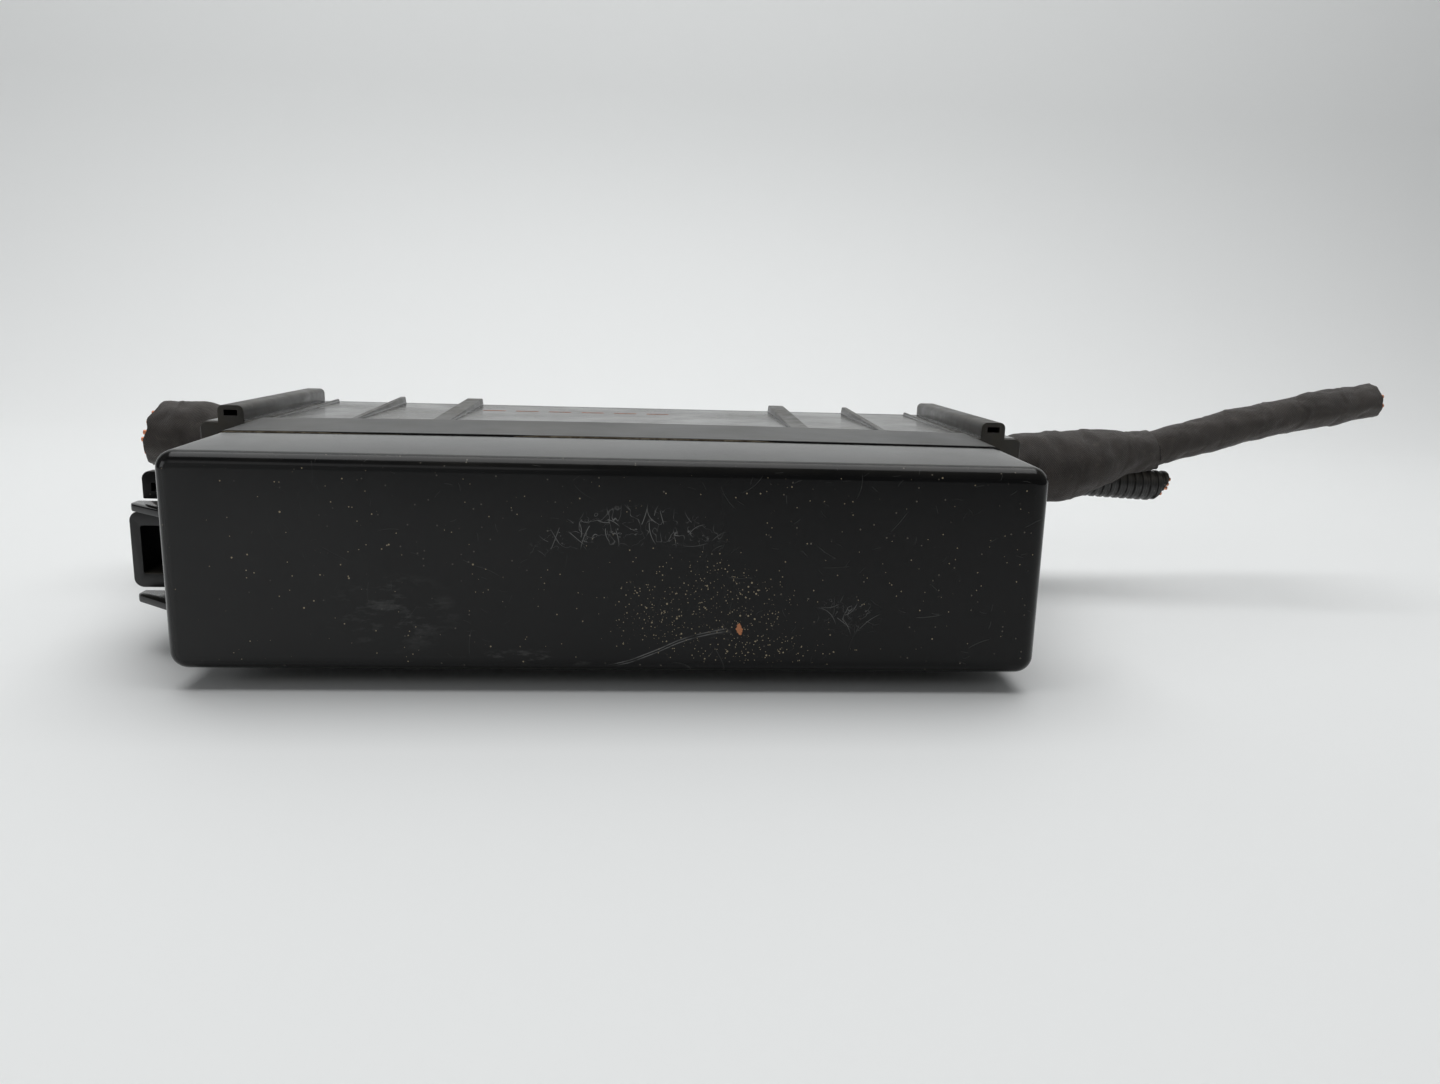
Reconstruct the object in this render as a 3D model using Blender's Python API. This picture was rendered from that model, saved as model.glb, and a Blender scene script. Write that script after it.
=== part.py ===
"""Trailer brake relay and driver box: snap cover, collar, railed body, latch, plug-in parts and cut wiring.

Metres, +Z up. The cover faces -Y and the box stands on its two lower rails. Everything is laid out from
the middle of the cover, and the whole unit is then centred on its footprint by one parent empty.
"""

import math

import bmesh
import bpy
from mathutils import Matrix, Vector

# ---- clearances ----
GAP = 0.0003  # between pieces that touch
SLOT_GAP = 0.0003  # around a blade in its slot
PIN_GAP = 0.0003  # around a pivot pin
OVERLAP = 0.0010  # how far a boss, a rail or a cutter runs into or past the wall that it joins or cuts
BLEND = 0.0008  # the same, for small features

# ---- cover, the size that the rest is laid out from ----
COVER_WIDTH = 0.2006  # at the front
COVER_HEIGHT = 0.0498  # at the front
COVER_FRONT = -0.0025
SEAM_Y = 0.0320
COVER_WALL = 0.0022
COVER_CORNER = 0.0042
COVER_FILLET = 0.0036
INNER_CORNER = 0.0012  # the corners of inner walls, lips and plates
LEAST_CORNER = 0.0006
DRAFT = 0.020  # how much the sides spread, per metre towards the back
CROWN_RATE = 0.0125  # how much the broad faces bow out, per metre towards the back

# ---- collar ----
COLLAR_BACK = 0.0610
COLLAR_WALL = 0.0023
FLANGE_THICK = 0.0020
LIP_LENGTH = 0.0050
LIP_WALL = 0.0016
SEAL_THICK = 0.0008
SEAL_LENGTH = 0.0028

# ---- body ----
BODY_STEP = 0.0152  # how far each side stands out beyond the cover's front
BODY_RISE = 0.0004  # how far its top and underside stand out beyond the cover's front
BODY_WIDTH = COVER_WIDTH + 2 * BODY_STEP
BODY_HEIGHT = COVER_HEIGHT + 2 * BODY_RISE
BODY_LENGTH = 0.0740
RAIL_HEIGHT = 0.0044
MID_Z = RAIL_HEIGHT + BODY_HEIGHT / 2  # the box is alike above and below this height
BODY_WALL = 0.0025
BODY_CORNER = 0.0022
SLEEVE_WALL = 0.0020
BODY_FRONT = COLLAR_BACK + GAP
BODY_BACK = BODY_FRONT + BODY_LENGTH

# ---- rails on the body, and ribs: distance from the middle, width, height ----
RAIL_INSET = 0.0085  # from the body's side to the rail's middle
RAIL_X = BODY_WIDTH / 2 - RAIL_INSET
RAIL_WIDTH = 0.0070
RAIL_CORNER = 0.0010
RAIL_SLOT_WIDTH = 0.0036
RAIL_SLOT_HEIGHT = 0.0016
RAIL_SLOT_RISE = 0.0023  # above the body's face
RIB_START = 0.0006  # behind the body's front
RIB_STOP = 0.0004  # before its back
RIBS = (
    (0.0990, 0.0016, 0.0010),
    (0.0770, 0.0025, 0.0023),
    (0.0525, 0.0060, 0.0023),
)

# ---- back cover ----
BACK_THICK = 0.0030
BACK_LIP = 0.0030
BACK_LIP_WALL = 0.0016
BACK_RECESS = 0.0010
BACK_MARGIN = 0.0140  # from the plate's sides to the recess
BACK_MARGIN_Z = 0.0080
BACK_EDGE = 0.0006

# ---- cover hinge, on the right ----
HINGE_OUT = 0.0030  # pivot beyond the seam's edge
HINGE_BEHIND = 0.0022  # pivot behind the seam
HINGE_PIN_R = 0.0014
HINGE_TAB = 0.0070
HINGE_EAR = 0.0018
HINGE_EYE_WALL = 0.0013
HINGE_TAB_ROOT = 0.0050  # how far a tab and its foot run along the side wall
HINGE_SPREAD = 0.0125  # each tab's distance above or below the middle

# ---- latch, on the left ----
LEVER_FRONT = 0.0310
LEVER_HEIGHT = 0.0195
LEVER_WIDTH = 0.0137
LEVER_OUT = 0.0207  # its outer face, beyond the seam's edge
LEVER_WEB = 0.0026
LEVER_ARM = 0.0036
LEVER_CORNER = 0.0024
LEVER_MID_Z = 0.02525
LEVER_PIVOT_OUT = 0.0160  # its pivot, beyond the seam's edge
LEVER_PIVOT_BEFORE = 0.0038  # pivot in front of the body's face
LEVER_PIN_R = 0.0015
LEVER_TAIL = 0.0016  # behind the pivot
LEVER_LUG = 0.0031
LUG_EYE_WALL = 0.0014
LUG_FOOT = 0.0080  # how far the lug reaches in from the pivot
BARB_Y = 0.0420
BARB_THICK = 0.0030
TONGUE_REACH = 0.0500
TONGUE_THICK = 0.0020
TONGUE_SIDE_GAP = 0.0009  # between the tongue and each arm of the lever
TONGUE_HEIGHT = LEVER_HEIGHT - 2 * LEVER_ARM - 2 * TONGUE_SIDE_GAP
TONGUE_LIP = 0.0015
TONGUE_LIP_LENGTH = 0.0040
TONGUE_BRACKET = 0.0100  # along the side wall
TONGUE_GAP = 0.0055  # between the cover's side and the tongue
BARB_GAP = 0.0010  # the barb stands clear of the swinging lip by this much
FIN_OUT = 0.0185
FIN_START = 0.0120
FIN_THICK = 0.0019
FIN_CORNER = 0.0030
FIN_GAP = 0.0008  # between a fin and the lever
EAR_OUT = 0.0175
EAR_THICK = 0.0030
EAR_HEIGHT = 0.0070
EAR_HOLE = 0.0022
EAR_CORNER = 0.0020
EAR_HOLE_IN = 0.0033  # from the ear's outer edge to the hole's middle
EAR_HOLE_UP = 0.0030

# ---- socket panel ----
PANEL_THICK = 0.0060
PANEL_SCREW_IN = 0.0072  # from the collar's inner wall
PANEL_SCREW_Z = 0.0150
SCREW_EAR = 0.0045

# ---- plug-in parts ----
RELAY_COUNT = 6
RELAY_PITCH = 0.0300
RELAY_SIDE = 0.0260
RELAY_HEIGHT = 0.0212
RELAY_EDGE = 0.0008
RELAY_BLADE_IN = 0.0045  # from the case's side to the blade's middle
RELAY_BLADE = (0.0063, 0.0008, 0.0105)  # width, thickness, length
FUSE_COUNT = 10
FUSE_PITCH = 0.0088
FUSE_FIRST_X = -0.0800
FUSE_BODY = (0.0038, 0.0109, 0.0088)  # thickness, height, how far it stands out
FUSE_HEAD = 0.0030
FUSE_STEP = 0.0008
FUSE_BLADE = (0.0028, 0.0007, 0.0078)
PULLER_X = 0.0450
PULLER_SIZE = (0.0240, 0.0110, 0.0100)
PULLER_PRONG = (0.0024, 0.0060, 0.0050)
PULLER_LEG = 0.0048
PULLER_BRIDGE = 0.0030

# ---- copper feed ----
BUS_HALF_X = 0.0840
BUS_THICK = 0.0012
BUS_HEIGHT = 0.0040
BUS_ABOVE_FUSES = 0.0009
BUS_LEG_X = 0.0300
BUS_LEG_HALF = 0.0040

# ---- board ----
BOARD_HALF_X = 0.0800
BOARD_INSET = 0.0087  # behind the body's front
BOARD_BACK_INSET = 0.0093  # before the body's back
BOARD_FRONT = BODY_FRONT + BOARD_INSET
BOARD_BACK = BODY_BACK - BOARD_BACK_INSET
BOARD_THICK = 0.0016
BOARD_Z = 0.0183
BOARD_HOLE_IN = 0.0050  # from the board's edges
REAR_HOLE_X = 0.0560
POST_R = 0.0034
HEADER_BACK = 0.0010  # behind the board's front edge
HEADER_SIZE = (0.0800, 0.0090, 0.0100)
HEADER_WALL = 0.0015
HEADER_FLOOR = 0.0028
SINK_X = -0.0040
SINK_SIZE = (0.0500, 0.0110, 0.0240)
SINK_BACK = 0.0020  # before the board's back edge
SINK_PLATE = 0.0024
SINK_FIN = 0.0014
SINK_FINS = 9
DRIVER_SIZE = (0.0100, 0.0045, 0.0190)
DRIVER_COUNT = 4
DRIVER_FIRST_X = 0.0000
DRIVER_PITCH = 0.0122
DRIVER_EDGE = 0.0005
CAPACITOR_R = 0.0075
CAPACITOR_HEIGHT = 0.0220
CAPACITOR_RIM = 0.0008
CAPACITOR_X = (-0.0370, -0.0190)
CAPACITOR_BACK = 0.0140  # from the board's back edge to a capacitor's middle
CHIP_X = -0.0270
CHIP_SIZE = (0.0120, 0.0120, 0.0016)

# ---- screws ----
SCREW_R = 0.0015
SCREW_HEAD_R = 0.0029
SCREW_HEAD = 0.0017
BACK_SCREW_LENGTH = 0.0130
BOARD_SCREW_LENGTH = 0.0080
PANEL_SCREW_LENGTH = 0.0090
BOSS_R = 0.0034
BOSS_SINK = 0.0009  # how far a boss runs into the walls beside it
BACK_SCREW_INSET = BODY_WALL + BOSS_R - BOSS_SINK
BOSS_LENGTH = 0.0120
SCREW_TIP = 0.0015

# ---- wiring ----
BUNDLE_R = 0.0078
GROMMET_WALL = 0.0012
GROMMET_FLANGE = 0.0009
GROMMET_FLANGE_THICK = 0.0014
GROMMET_TOP_GAP = 0.0005  # below the body's top wall
GROMMET_BACK_GAP = 0.0012  # before the screw bosses
BUNDLE_STRAIGHT = 0.0035  # how far a bundle runs straight out of the body
PLUG_BACK = 0.0790  # the plugs' outer faces, from the middle
PLUG_SIZE = (0.0130, 0.0150)
PLUG_TOP = 0.0498
PLUG_NOSE = 0.0070
PLUG_NOSE_HALF = 0.0065
TRUNK_RINGS = (  # share of the way to the branch, height above the exit, half depth, half height
    (0.06, -0.0005, 0.0086, 0.0086),
    (0.20, -0.0005, 0.0100, 0.0104),
    (0.34, -0.0004, 0.0106, 0.0118),
    (0.47, -0.0002, 0.0104, 0.0121),
    (0.62, 0.0015, 0.0096, 0.0107),
    (0.77, 0.0036, 0.0086, 0.0088),
    (0.88, 0.0045, 0.0074, 0.0076),
)
TRUNK_END_R = (0.0063, 0.0064)
STUB_RINGS = (  # distance out from the body's side, height above the exit, half depth, half height
    (0.0060, 0.0010, 0.0082, 0.0084),
    (0.0105, 0.0031, 0.0090, 0.0093),
    (0.0165, 0.0046, 0.0096, 0.0099),
    (0.0215, 0.0050, 0.0098, 0.0101),
)
STUB_END = 0.0298
STUB_END_SLANT = 0.46  # how far the cut runs outwards, per metre downwards
BRANCH_DIAMETER = 0.0124
BRANCH_ROUTE = (
    (0.1784, 0.1080, 0.0477),
    (0.1860, 0.1080, 0.0501),
    (0.1940, 0.1080, 0.0525),
    (0.2030, 0.1080, 0.0549),
    (0.2120, 0.1080, 0.0571),
    (0.2210, 0.1080, 0.0593),
    (0.2310, 0.1080, 0.0615),
    (0.2420, 0.1080, 0.0637),
    (0.2535, 0.1080, 0.0659),
)
BRANCH_POINTS = 14
CONDUIT_R = 0.0052
CONDUIT_GROOVE = 0.0007
CONDUIT_RIDGES = 8
CONDUIT_PLAIN = 0.0045  # uncorrugated at the cut end
CONDUIT_START = (-0.0304, 0.0, -0.0108)  # both from the branch's start
CONDUIT_END = (0.0036, 0.0, -0.0125)
CONDUIT_SLANT = -0.50
BRANCH_CORE_R = 0.0050  # the cut wires inside each end
CONDUIT_CORE_R = 0.0042
STUB_CORE_R = 0.0082
WIRE_END_LENGTH = 0.0022
WIRE_END_DISC = 0.0008
WIRE_END_SINK = 0.00025  # how far a stump runs into its disc

# ---- where the unit stands ----
CUT_REACH_RIGHT = 0.0050  # how far the cut wires reach past the middle of the conduit's end
CUT_REACH_LEFT = 0.0068  # and past the middle of the stub's end

# ---- drawing quality ----
CORNER_STEPS = 4
FILLET_STEPS = 4
BOW_STEPS = 8
ROUND = 16
ROUND_SMALL = 12
SHARP_ANGLE = math.radians(35)

FORWARD = Vector((0, -1, 0))
BACKWARD = Vector((0, 1, 0))
UP = Vector((0, 0, 1))
DOWN = Vector((0, 0, -1))
RIGHT = Vector((1, 0, 0))


# ================= materials =================


def finish(name, colour, roughness, metallic=0.0):
    material = bpy.data.materials.new(name)
    material.use_nodes = True
    shader = material.node_tree.nodes["Principled BSDF"]
    shader.inputs["Base Color"].default_value = (*colour, 1.0)
    shader.inputs["Roughness"].default_value = roughness
    shader.inputs["Metallic"].default_value = metallic
    return material


# ================= building tools =================


def shade(mesh):
    """Smooth shading that breaks at the corners."""
    mesh.shade_smooth()
    mesh.set_sharp_from_angle(angle=SHARP_ANGLE)


def solid(name, bm, material):
    """One object from a closed bmesh, faces out."""
    bmesh.ops.recalc_face_normals(bm, faces=bm.faces)
    mesh = bpy.data.meshes.new(name)
    bm.to_mesh(mesh)
    bm.free()
    shade(mesh)
    if material:
        mesh.materials.append(material)
    obj = bpy.data.objects.new(name, mesh)
    bpy.context.scene.collection.objects.link(obj)
    return obj


def loft(name, rings, material=None, closed=False):
    """A skin over rings of equal count, capped at both ends or joined round into a closed frame."""
    bm = bmesh.new()
    loops = [[bm.verts.new(point) for point in ring] for ring in rings]
    pairs = list(zip(loops, loops[1:]))
    if closed:
        pairs.append((loops[-1], loops[0]))
    else:
        bm.faces.new(loops[0])
        bm.faces.new(loops[-1])
    for first, second in pairs:
        for i in range(len(first)):
            j = (i + 1) % len(first)
            bm.faces.new((first[i], first[j], second[j], second[i]))
    return solid(name, bm, material)


def cuboid(name, low, high, material=None, edge=0.0, edge_steps=1):
    """A box between two corners, its edges rounded by edge."""
    bm = bmesh.new()
    bmesh.ops.create_cube(bm, size=1.0)
    low, high = Vector(low), Vector(high)
    size, middle = high - low, (high + low) / 2
    bmesh.ops.transform(bm, matrix=Matrix.Translation(middle) @ Matrix.Diagonal((*size, 1)), verts=bm.verts)
    if edge:
        bmesh.ops.bevel(bm, geom=bm.edges[:], offset=edge, segments=edge_steps, affect="EDGES", profile=0.5)
    return solid(name, bm, material)


def prism(name, outline, start, end, along, material=None):
    """A flat outline pushed along an axis. Its points are (y, z), (x, z) or (x, y) for along x, y or z."""
    place = {
        "x": lambda p, s: (s, p[0], p[1]),
        "y": lambda p, s: (p[0], s, p[1]),
        "z": lambda p, s: (p[0], p[1], s),
    }[along]
    return loft(name, [[place(p, s) for p in outline] for s in (start, end)], material)


def turned(name, profile, base, axis, material=None, sides=ROUND):
    """A turned piece: profile points are (radius, height along axis) from base."""
    axis = Vector(axis).normalized()
    side = axis.orthogonal().normalized()
    other = axis.cross(side)
    angles = [2 * math.pi * k / sides for k in range(sides)]
    ways = [side * math.cos(a) + other * math.sin(a) for a in angles]
    rings = [[Vector(base) + axis * height + way * radius for way in ways] for radius, height in profile]
    return loft(name, rings, material)


def rod(name, base, axis, radius, length, material=None, sides=ROUND):
    return turned(name, ((radius, 0.0), (radius, length)), base, axis, material, sides)


def apply_boolean(target, tool, operation):
    modifier = target.modifiers.new(operation.lower(), "BOOLEAN")
    modifier.object = tool
    modifier.operation = operation
    modifier.solver = "EXACT"
    graph = bpy.context.evaluated_depsgraph_get()
    result = bpy.data.meshes.new_from_object(target.evaluated_get(graph))
    target.modifiers.clear()
    old = target.data
    target.data = result
    bpy.data.meshes.remove(old)
    result.name = target.name
    shade(result)
    tool_mesh = tool.data
    bpy.data.objects.remove(tool)
    bpy.data.meshes.remove(tool_mesh)


def cut(target, *tools):
    for tool in tools:
        apply_boolean(target, tool, "DIFFERENCE")


def fuse(target, *tools):
    for tool in tools:
        apply_boolean(target, tool, "UNION")


def merged(name, tools):
    """Several separate cutters as one mesh, so that they cut in one go."""
    bm = bmesh.new()
    for tool in tools:
        bm.from_mesh(tool.data)
        mesh = tool.data
        bpy.data.objects.remove(tool)
        bpy.data.meshes.remove(mesh)
    return solid(name, bm, None)


def set_origin(piece, point):
    """Moves a piece's origin to a point, with its shape where it was."""
    piece.data.transform(Matrix.Translation(-Vector(point)))
    piece.location = point


def arc(centre, radius, start, end, steps):
    """Points on an arc, angles in degrees, both ends included."""
    angles = [math.radians(start + (end - start) * k / steps) for k in range(steps + 1)]
    return [(centre[0] + radius * math.cos(a), centre[1] + radius * math.sin(a)) for a in angles]


def rounded_rectangle(half_w, half_h, radius, crown=0.0):
    """Outline about the origin, anticlockwise. Its broad sides bow out by crown at the middle."""
    points = []
    for quarter, (sx, sz) in enumerate(((1, 1), (-1, 1), (-1, -1), (1, -1))):
        centre = (sx * (half_w - radius), sz * (half_h - radius))
        points += arc(centre, radius, 90 * quarter, 90 * quarter + 90, CORNER_STEPS)
        if quarter in (0, 2):
            flat = half_w - radius
            for k in range(1, BOW_STEPS):
                x = sz * flat * (1 - 2 * k / BOW_STEPS)
                points.append((x, sz * half_h))
    return [(x, z + math.copysign(crown, z) * (1 - (x / half_w) ** 2)) for x, z in points]


def frame_ring(half_w, half_h, radius, y, crown=0.0):
    return [(x, y, MID_Z + z) for x, z in rounded_rectangle(half_w, half_h, radius, crown)]


# ---- the drafted outside that the cover and the collar share ----


def outer_half_w(y):
    return COVER_WIDTH / 2 + DRAFT * (y - COVER_FRONT)


def outer_half_h(y):
    return COVER_HEIGHT / 2 + DRAFT * (y - COVER_FRONT)


def crown_at(y):
    return CROWN_RATE * (y - COVER_FRONT)


SEAM_HALF_W = outer_half_w(SEAM_Y)
SEAM_HALF_H = outer_half_h(SEAM_Y)
COVER_SEAM = SEAM_Y - GAP / 2
COLLAR_SEAM = SEAM_Y + GAP / 2
LIP_INSET = COVER_WALL + GAP + SEAL_THICK + GAP  # from the cover's outside to the lip's outside
LIP_INNER_INSET = LIP_INSET + LIP_WALL
LIP_INNER_H = SEAM_HALF_H - LIP_INNER_INSET
FLANGE_BACK = COLLAR_SEAM + FLANGE_THICK
PANEL_FRONT = FLANGE_BACK + GAP
PANEL_BACK = PANEL_FRONT + PANEL_THICK
PLUG_IN_BASE = PANEL_FRONT - GAP  # where relays and fuses rest on the panel
RELAY_Z = MID_Z + LIP_INNER_H - GAP - RELAY_SIDE / 2
FUSE_Z = MID_Z - LIP_INNER_H + GAP + FUSE_BODY[1] / 2
SLEEVE_FRONT = PANEL_BACK + GAP
COLLAR_INNER_W = SEAM_HALF_W - COLLAR_WALL
COLLAR_INNER_H = SEAM_HALF_H - COLLAR_WALL
SLEEVE_HALF_W = COLLAR_INNER_W - GAP
SLEEVE_HALF_H = COLLAR_INNER_H - GAP
PANEL_SCREW_X = COLLAR_INNER_W - PANEL_SCREW_IN
HINGE_X = SEAM_HALF_W + HINGE_OUT
HINGE_Y = SEAM_Y + HINGE_BEHIND
LEVER_LOW = LEVER_MID_Z - LEVER_HEIGHT / 2
LEVER_HIGH = LEVER_MID_Z + LEVER_HEIGHT / 2
LEVER_PIVOT_X = -(SEAM_HALF_W + LEVER_PIVOT_OUT)
LEVER_PIVOT_Y = BODY_FRONT - LEVER_PIVOT_BEFORE
TONGUE_INNER_X = -(SEAM_HALF_W + TONGUE_GAP)
TONGUE_OUTER_X = TONGUE_INNER_X - TONGUE_THICK
TONGUE_LIP_X = TONGUE_OUTER_X - TONGUE_LIP
BACK_FACE = BODY_BACK + GAP + BACK_THICK
BOARD_TOP = BOARD_Z + BOARD_THICK
BOARD_SEAT = BOARD_TOP + GAP
BOARD_HOLES = (
    (-BOARD_HALF_X + BOARD_HOLE_IN, BOARD_FRONT + BOARD_HOLE_IN),
    (BOARD_HALF_X - BOARD_HOLE_IN, BOARD_FRONT + BOARD_HOLE_IN),
    (-REAR_HOLE_X, BOARD_BACK - BOARD_HOLE_IN),
    (REAR_HOLE_X, BOARD_BACK - BOARD_HOLE_IN),
)
SINK_FRONT = BOARD_BACK - SINK_BACK - SINK_SIZE[1]
BOSS_END = BODY_BACK - BACK_LIP - 2 * GAP
WIRE_HOLE_R = BUNDLE_R + GAP + GROMMET_WALL + GAP
GROMMET_R = WIRE_HOLE_R + GROMMET_FLANGE
WIRE_EXIT_Z = MID_Z + BODY_HEIGHT / 2 - BODY_WALL - GROMMET_TOP_GAP - GROMMET_R
WIRE_EXIT_Y = BOSS_END - BOSS_LENGTH - GROMMET_BACK_GAP - GROMMET_R
BUNDLE_START = PLUG_BACK + PLUG_NOSE + GAP
BRANCH_START = Vector(BRANCH_ROUTE[0])
CONDUIT_FROM = BRANCH_START + Vector(CONDUIT_START)
CONDUIT_TO = BRANCH_START + Vector(CONDUIT_END)
STUB_END_X = -(BODY_WIDTH / 2 + STUB_END)


# ================= cover =================


def cover_shell(plastic):
    """The deep cap: a fillet runs round its front, and its wall follows the outside at one thickness."""
    rings = []
    inner_front = COVER_FRONT + COVER_WALL
    inner_fillet = COVER_FILLET - COVER_WALL
    for y, inset in ((inner_front, inner_fillet), (inner_front + inner_fillet, 0.0), (COVER_SEAM, 0.0)):
        half_w = outer_half_w(y) - COVER_WALL - inset
        half_h = outer_half_h(y) - COVER_WALL - inset
        radius = max(COVER_CORNER - COVER_WALL - inset, LEAST_CORNER)
        rings.append(frame_ring(half_w, half_h, radius, y, crown_at(y)))
    rings.append(frame_ring(SEAM_HALF_W, SEAM_HALF_H, COVER_CORNER, COVER_SEAM, crown_at(SEAM_Y)))
    for k in range(FILLET_STEPS + 1):
        angle = math.pi / 2 * k / FILLET_STEPS
        y = COVER_FRONT + COVER_FILLET * (1 - math.sin(angle))
        inset = COVER_FILLET * (1 - math.cos(angle))
        radius = max(COVER_CORNER - inset, LEAST_CORNER)
        rings.append(frame_ring(outer_half_w(y) - inset, outer_half_h(y) - inset, radius, y, crown_at(y)))
    return loft("cover", rings, plastic)


def fin(z):
    """A guard fin: it slopes out from the side wall to a rounded corner, then runs back to the seam."""
    wall = SEAM_HALF_W - COVER_WALL / 2
    tip = SEAM_HALF_W + FIN_OUT
    outline = [(-wall, FIN_START), (-wall, COVER_SEAM), (-tip, COVER_SEAM)]
    outline += arc((-tip + FIN_CORNER, COVER_SEAM - FIN_CORNER), FIN_CORNER, 180, 235, CORNER_STEPS)
    return prism("fin", outline, z - FIN_THICK / 2, z + FIN_THICK / 2, "z")


def catch_tongue():
    """A bracket from the side wall, and the tongue that it carries back past the seam to its raised lip."""
    wall = -(SEAM_HALF_W - COVER_WALL / 2)
    bracket_front = SEAM_Y - TONGUE_BRACKET
    lip_front = TONGUE_REACH - TONGUE_LIP_LENGTH
    outline = [
        (wall, bracket_front),
        (TONGUE_OUTER_X, bracket_front),
        (TONGUE_OUTER_X, lip_front),
        (TONGUE_LIP_X, lip_front),
        (TONGUE_OUTER_X, TONGUE_REACH),
        (TONGUE_INNER_X, TONGUE_REACH),
        (TONGUE_INNER_X, COVER_SEAM),
        (wall, COVER_SEAM),
    ]
    low = LEVER_MID_Z - TONGUE_HEIGHT / 2
    return prism("tongue", outline, low, low + TONGUE_HEIGHT, "z")


def hinge_heights():
    return (MID_Z - HINGE_SPREAD, MID_Z + HINGE_SPREAD)


def hinge_tab(z):
    """A tab on the cover's right edge that runs back to the pivot, with a cross pin."""
    wall = SEAM_HALF_W - COVER_WALL / 2
    low = z - HINGE_TAB / 2
    reach = HINGE_PIN_R + PIN_GAP
    root = COVER_SEAM - HINGE_TAB_ROOT
    outline = [(wall, root), (HINGE_X + reach, root)]
    outline += arc((HINGE_X, HINGE_Y), reach, 0, 180, 6)
    outline += [(HINGE_X - reach, COVER_SEAM), (wall, COVER_SEAM)]
    tab = prism("tab", outline, low, low + HINGE_TAB, "z")
    reach_z = HINGE_EAR + GAP
    pin_length = HINGE_TAB + 2 * reach_z
    fuse(tab, rod("pin", (HINGE_X, HINGE_Y, low - reach_z), UP, HINGE_PIN_R, pin_length, sides=ROUND_SMALL))
    return tab


def make_cover(plastic):
    cover = cover_shell(plastic)
    for z in (LEVER_LOW - FIN_GAP - FIN_THICK / 2, LEVER_HIGH + FIN_GAP + FIN_THICK / 2):
        fuse(cover, fin(z))
    fuse(cover, catch_tongue())
    for z in hinge_heights():
        fuse(cover, hinge_tab(z))
    set_origin(cover, (HINGE_X, HINGE_Y, MID_Z))
    return cover


def make_seal(rubber):
    """A flat soft strip round the collar's lip."""
    front = COLLAR_SEAM - GAP - SEAL_LENGTH
    back = COLLAR_SEAM - GAP
    outer = LIP_INSET - GAP - SEAL_THICK
    inner = LIP_INSET - GAP
    rings = [
        frame_ring(SEAM_HALF_W - inset, SEAM_HALF_H - inset, radius, y)
        for inset, radius, y in (
            (outer, INNER_CORNER + SEAL_THICK / 2, front),
            (outer, INNER_CORNER + SEAL_THICK / 2, back),
            (inner, INNER_CORNER, back),
            (inner, INNER_CORNER, front),
        )
    ]
    return loft("cover_seal", rings, rubber, closed=True)


# ================= collar =================


def collar_ring(plastic):
    """The frame's section, carried round: outside, flange, lip."""
    lip_w, lip_h = SEAM_HALF_W - LIP_INSET, SEAM_HALF_H - LIP_INSET
    hole_w, hole_h = SEAM_HALF_W - LIP_INNER_INSET, LIP_INNER_H
    lip_front = COLLAR_SEAM - LIP_LENGTH
    back_w, back_h = outer_half_w(COLLAR_BACK), outer_half_h(COLLAR_BACK)
    section = (
        (SEAM_HALF_W, SEAM_HALF_H, COVER_CORNER, COLLAR_SEAM, crown_at(SEAM_Y)),
        (back_w, back_h, COVER_CORNER, COLLAR_BACK, crown_at(COLLAR_BACK)),
        (COLLAR_INNER_W, COLLAR_INNER_H, INNER_CORNER + GAP, COLLAR_BACK, 0.0),
        (COLLAR_INNER_W, COLLAR_INNER_H, INNER_CORNER + GAP, FLANGE_BACK, 0.0),
        (hole_w, hole_h, INNER_CORNER, FLANGE_BACK, 0.0),
        (hole_w, hole_h, INNER_CORNER, lip_front, 0.0),
        (lip_w, lip_h, INNER_CORNER, lip_front, 0.0),
        (lip_w, lip_h, INNER_CORNER, COLLAR_SEAM, 0.0),
    )
    return loft("collar_frame", [frame_ring(*ring) for ring in section], plastic, closed=True)


def lock_ear():
    """A drilled ear on the left, just above the upper fin."""
    low = LEVER_HIGH + FIN_GAP + FIN_THICK + GAP
    high = low + EAR_HEIGHT
    inner = -(SEAM_HALF_W - COLLAR_WALL / 2)
    outer = -(SEAM_HALF_W + EAR_OUT)
    front = COLLAR_SEAM + GAP
    outline = [(inner, low), (inner, high)]
    outline += arc((outer + EAR_CORNER, high - EAR_CORNER), EAR_CORNER, 90, 180, CORNER_STEPS)
    outline += [(outer, low)]
    ear = prism("ear", outline, front, front + EAR_THICK, "y")
    hole_x = outer + EAR_HOLE_IN
    hole_z = low + EAR_HOLE_UP
    half = EAR_HOLE / 2
    near = (hole_x - half, front - OVERLAP, hole_z - half)
    far = (hole_x + half, front + EAR_THICK + OVERLAP, hole_z + half)
    cut(ear, cuboid("hole", near, far))
    return ear


def hinge_ear(z):
    """One of the collar's ears: an eye for the cover's pin, on a foot that runs back along the side wall."""
    inner = SEAM_HALF_W - COLLAR_WALL / 2
    hole_r = HINGE_PIN_R + PIN_GAP
    reach = hole_r + HINGE_EYE_WALL
    outline = [(inner, COLLAR_SEAM + GAP), (HINGE_X, HINGE_Y - reach + 2 * GAP)]
    outline += arc((HINGE_X, HINGE_Y), reach, -60, 90, 6)
    outline += [(inner, HINGE_Y + reach + HINGE_TAB_ROOT / 2)]
    ear = prism("ear", outline, z, z + HINGE_EAR, "z")
    cut(ear, rod("hole", (HINGE_X, HINGE_Y, z - HINGE_EAR), UP, hole_r, 3 * HINGE_EAR, sides=ROUND_SMALL))
    return ear


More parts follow.
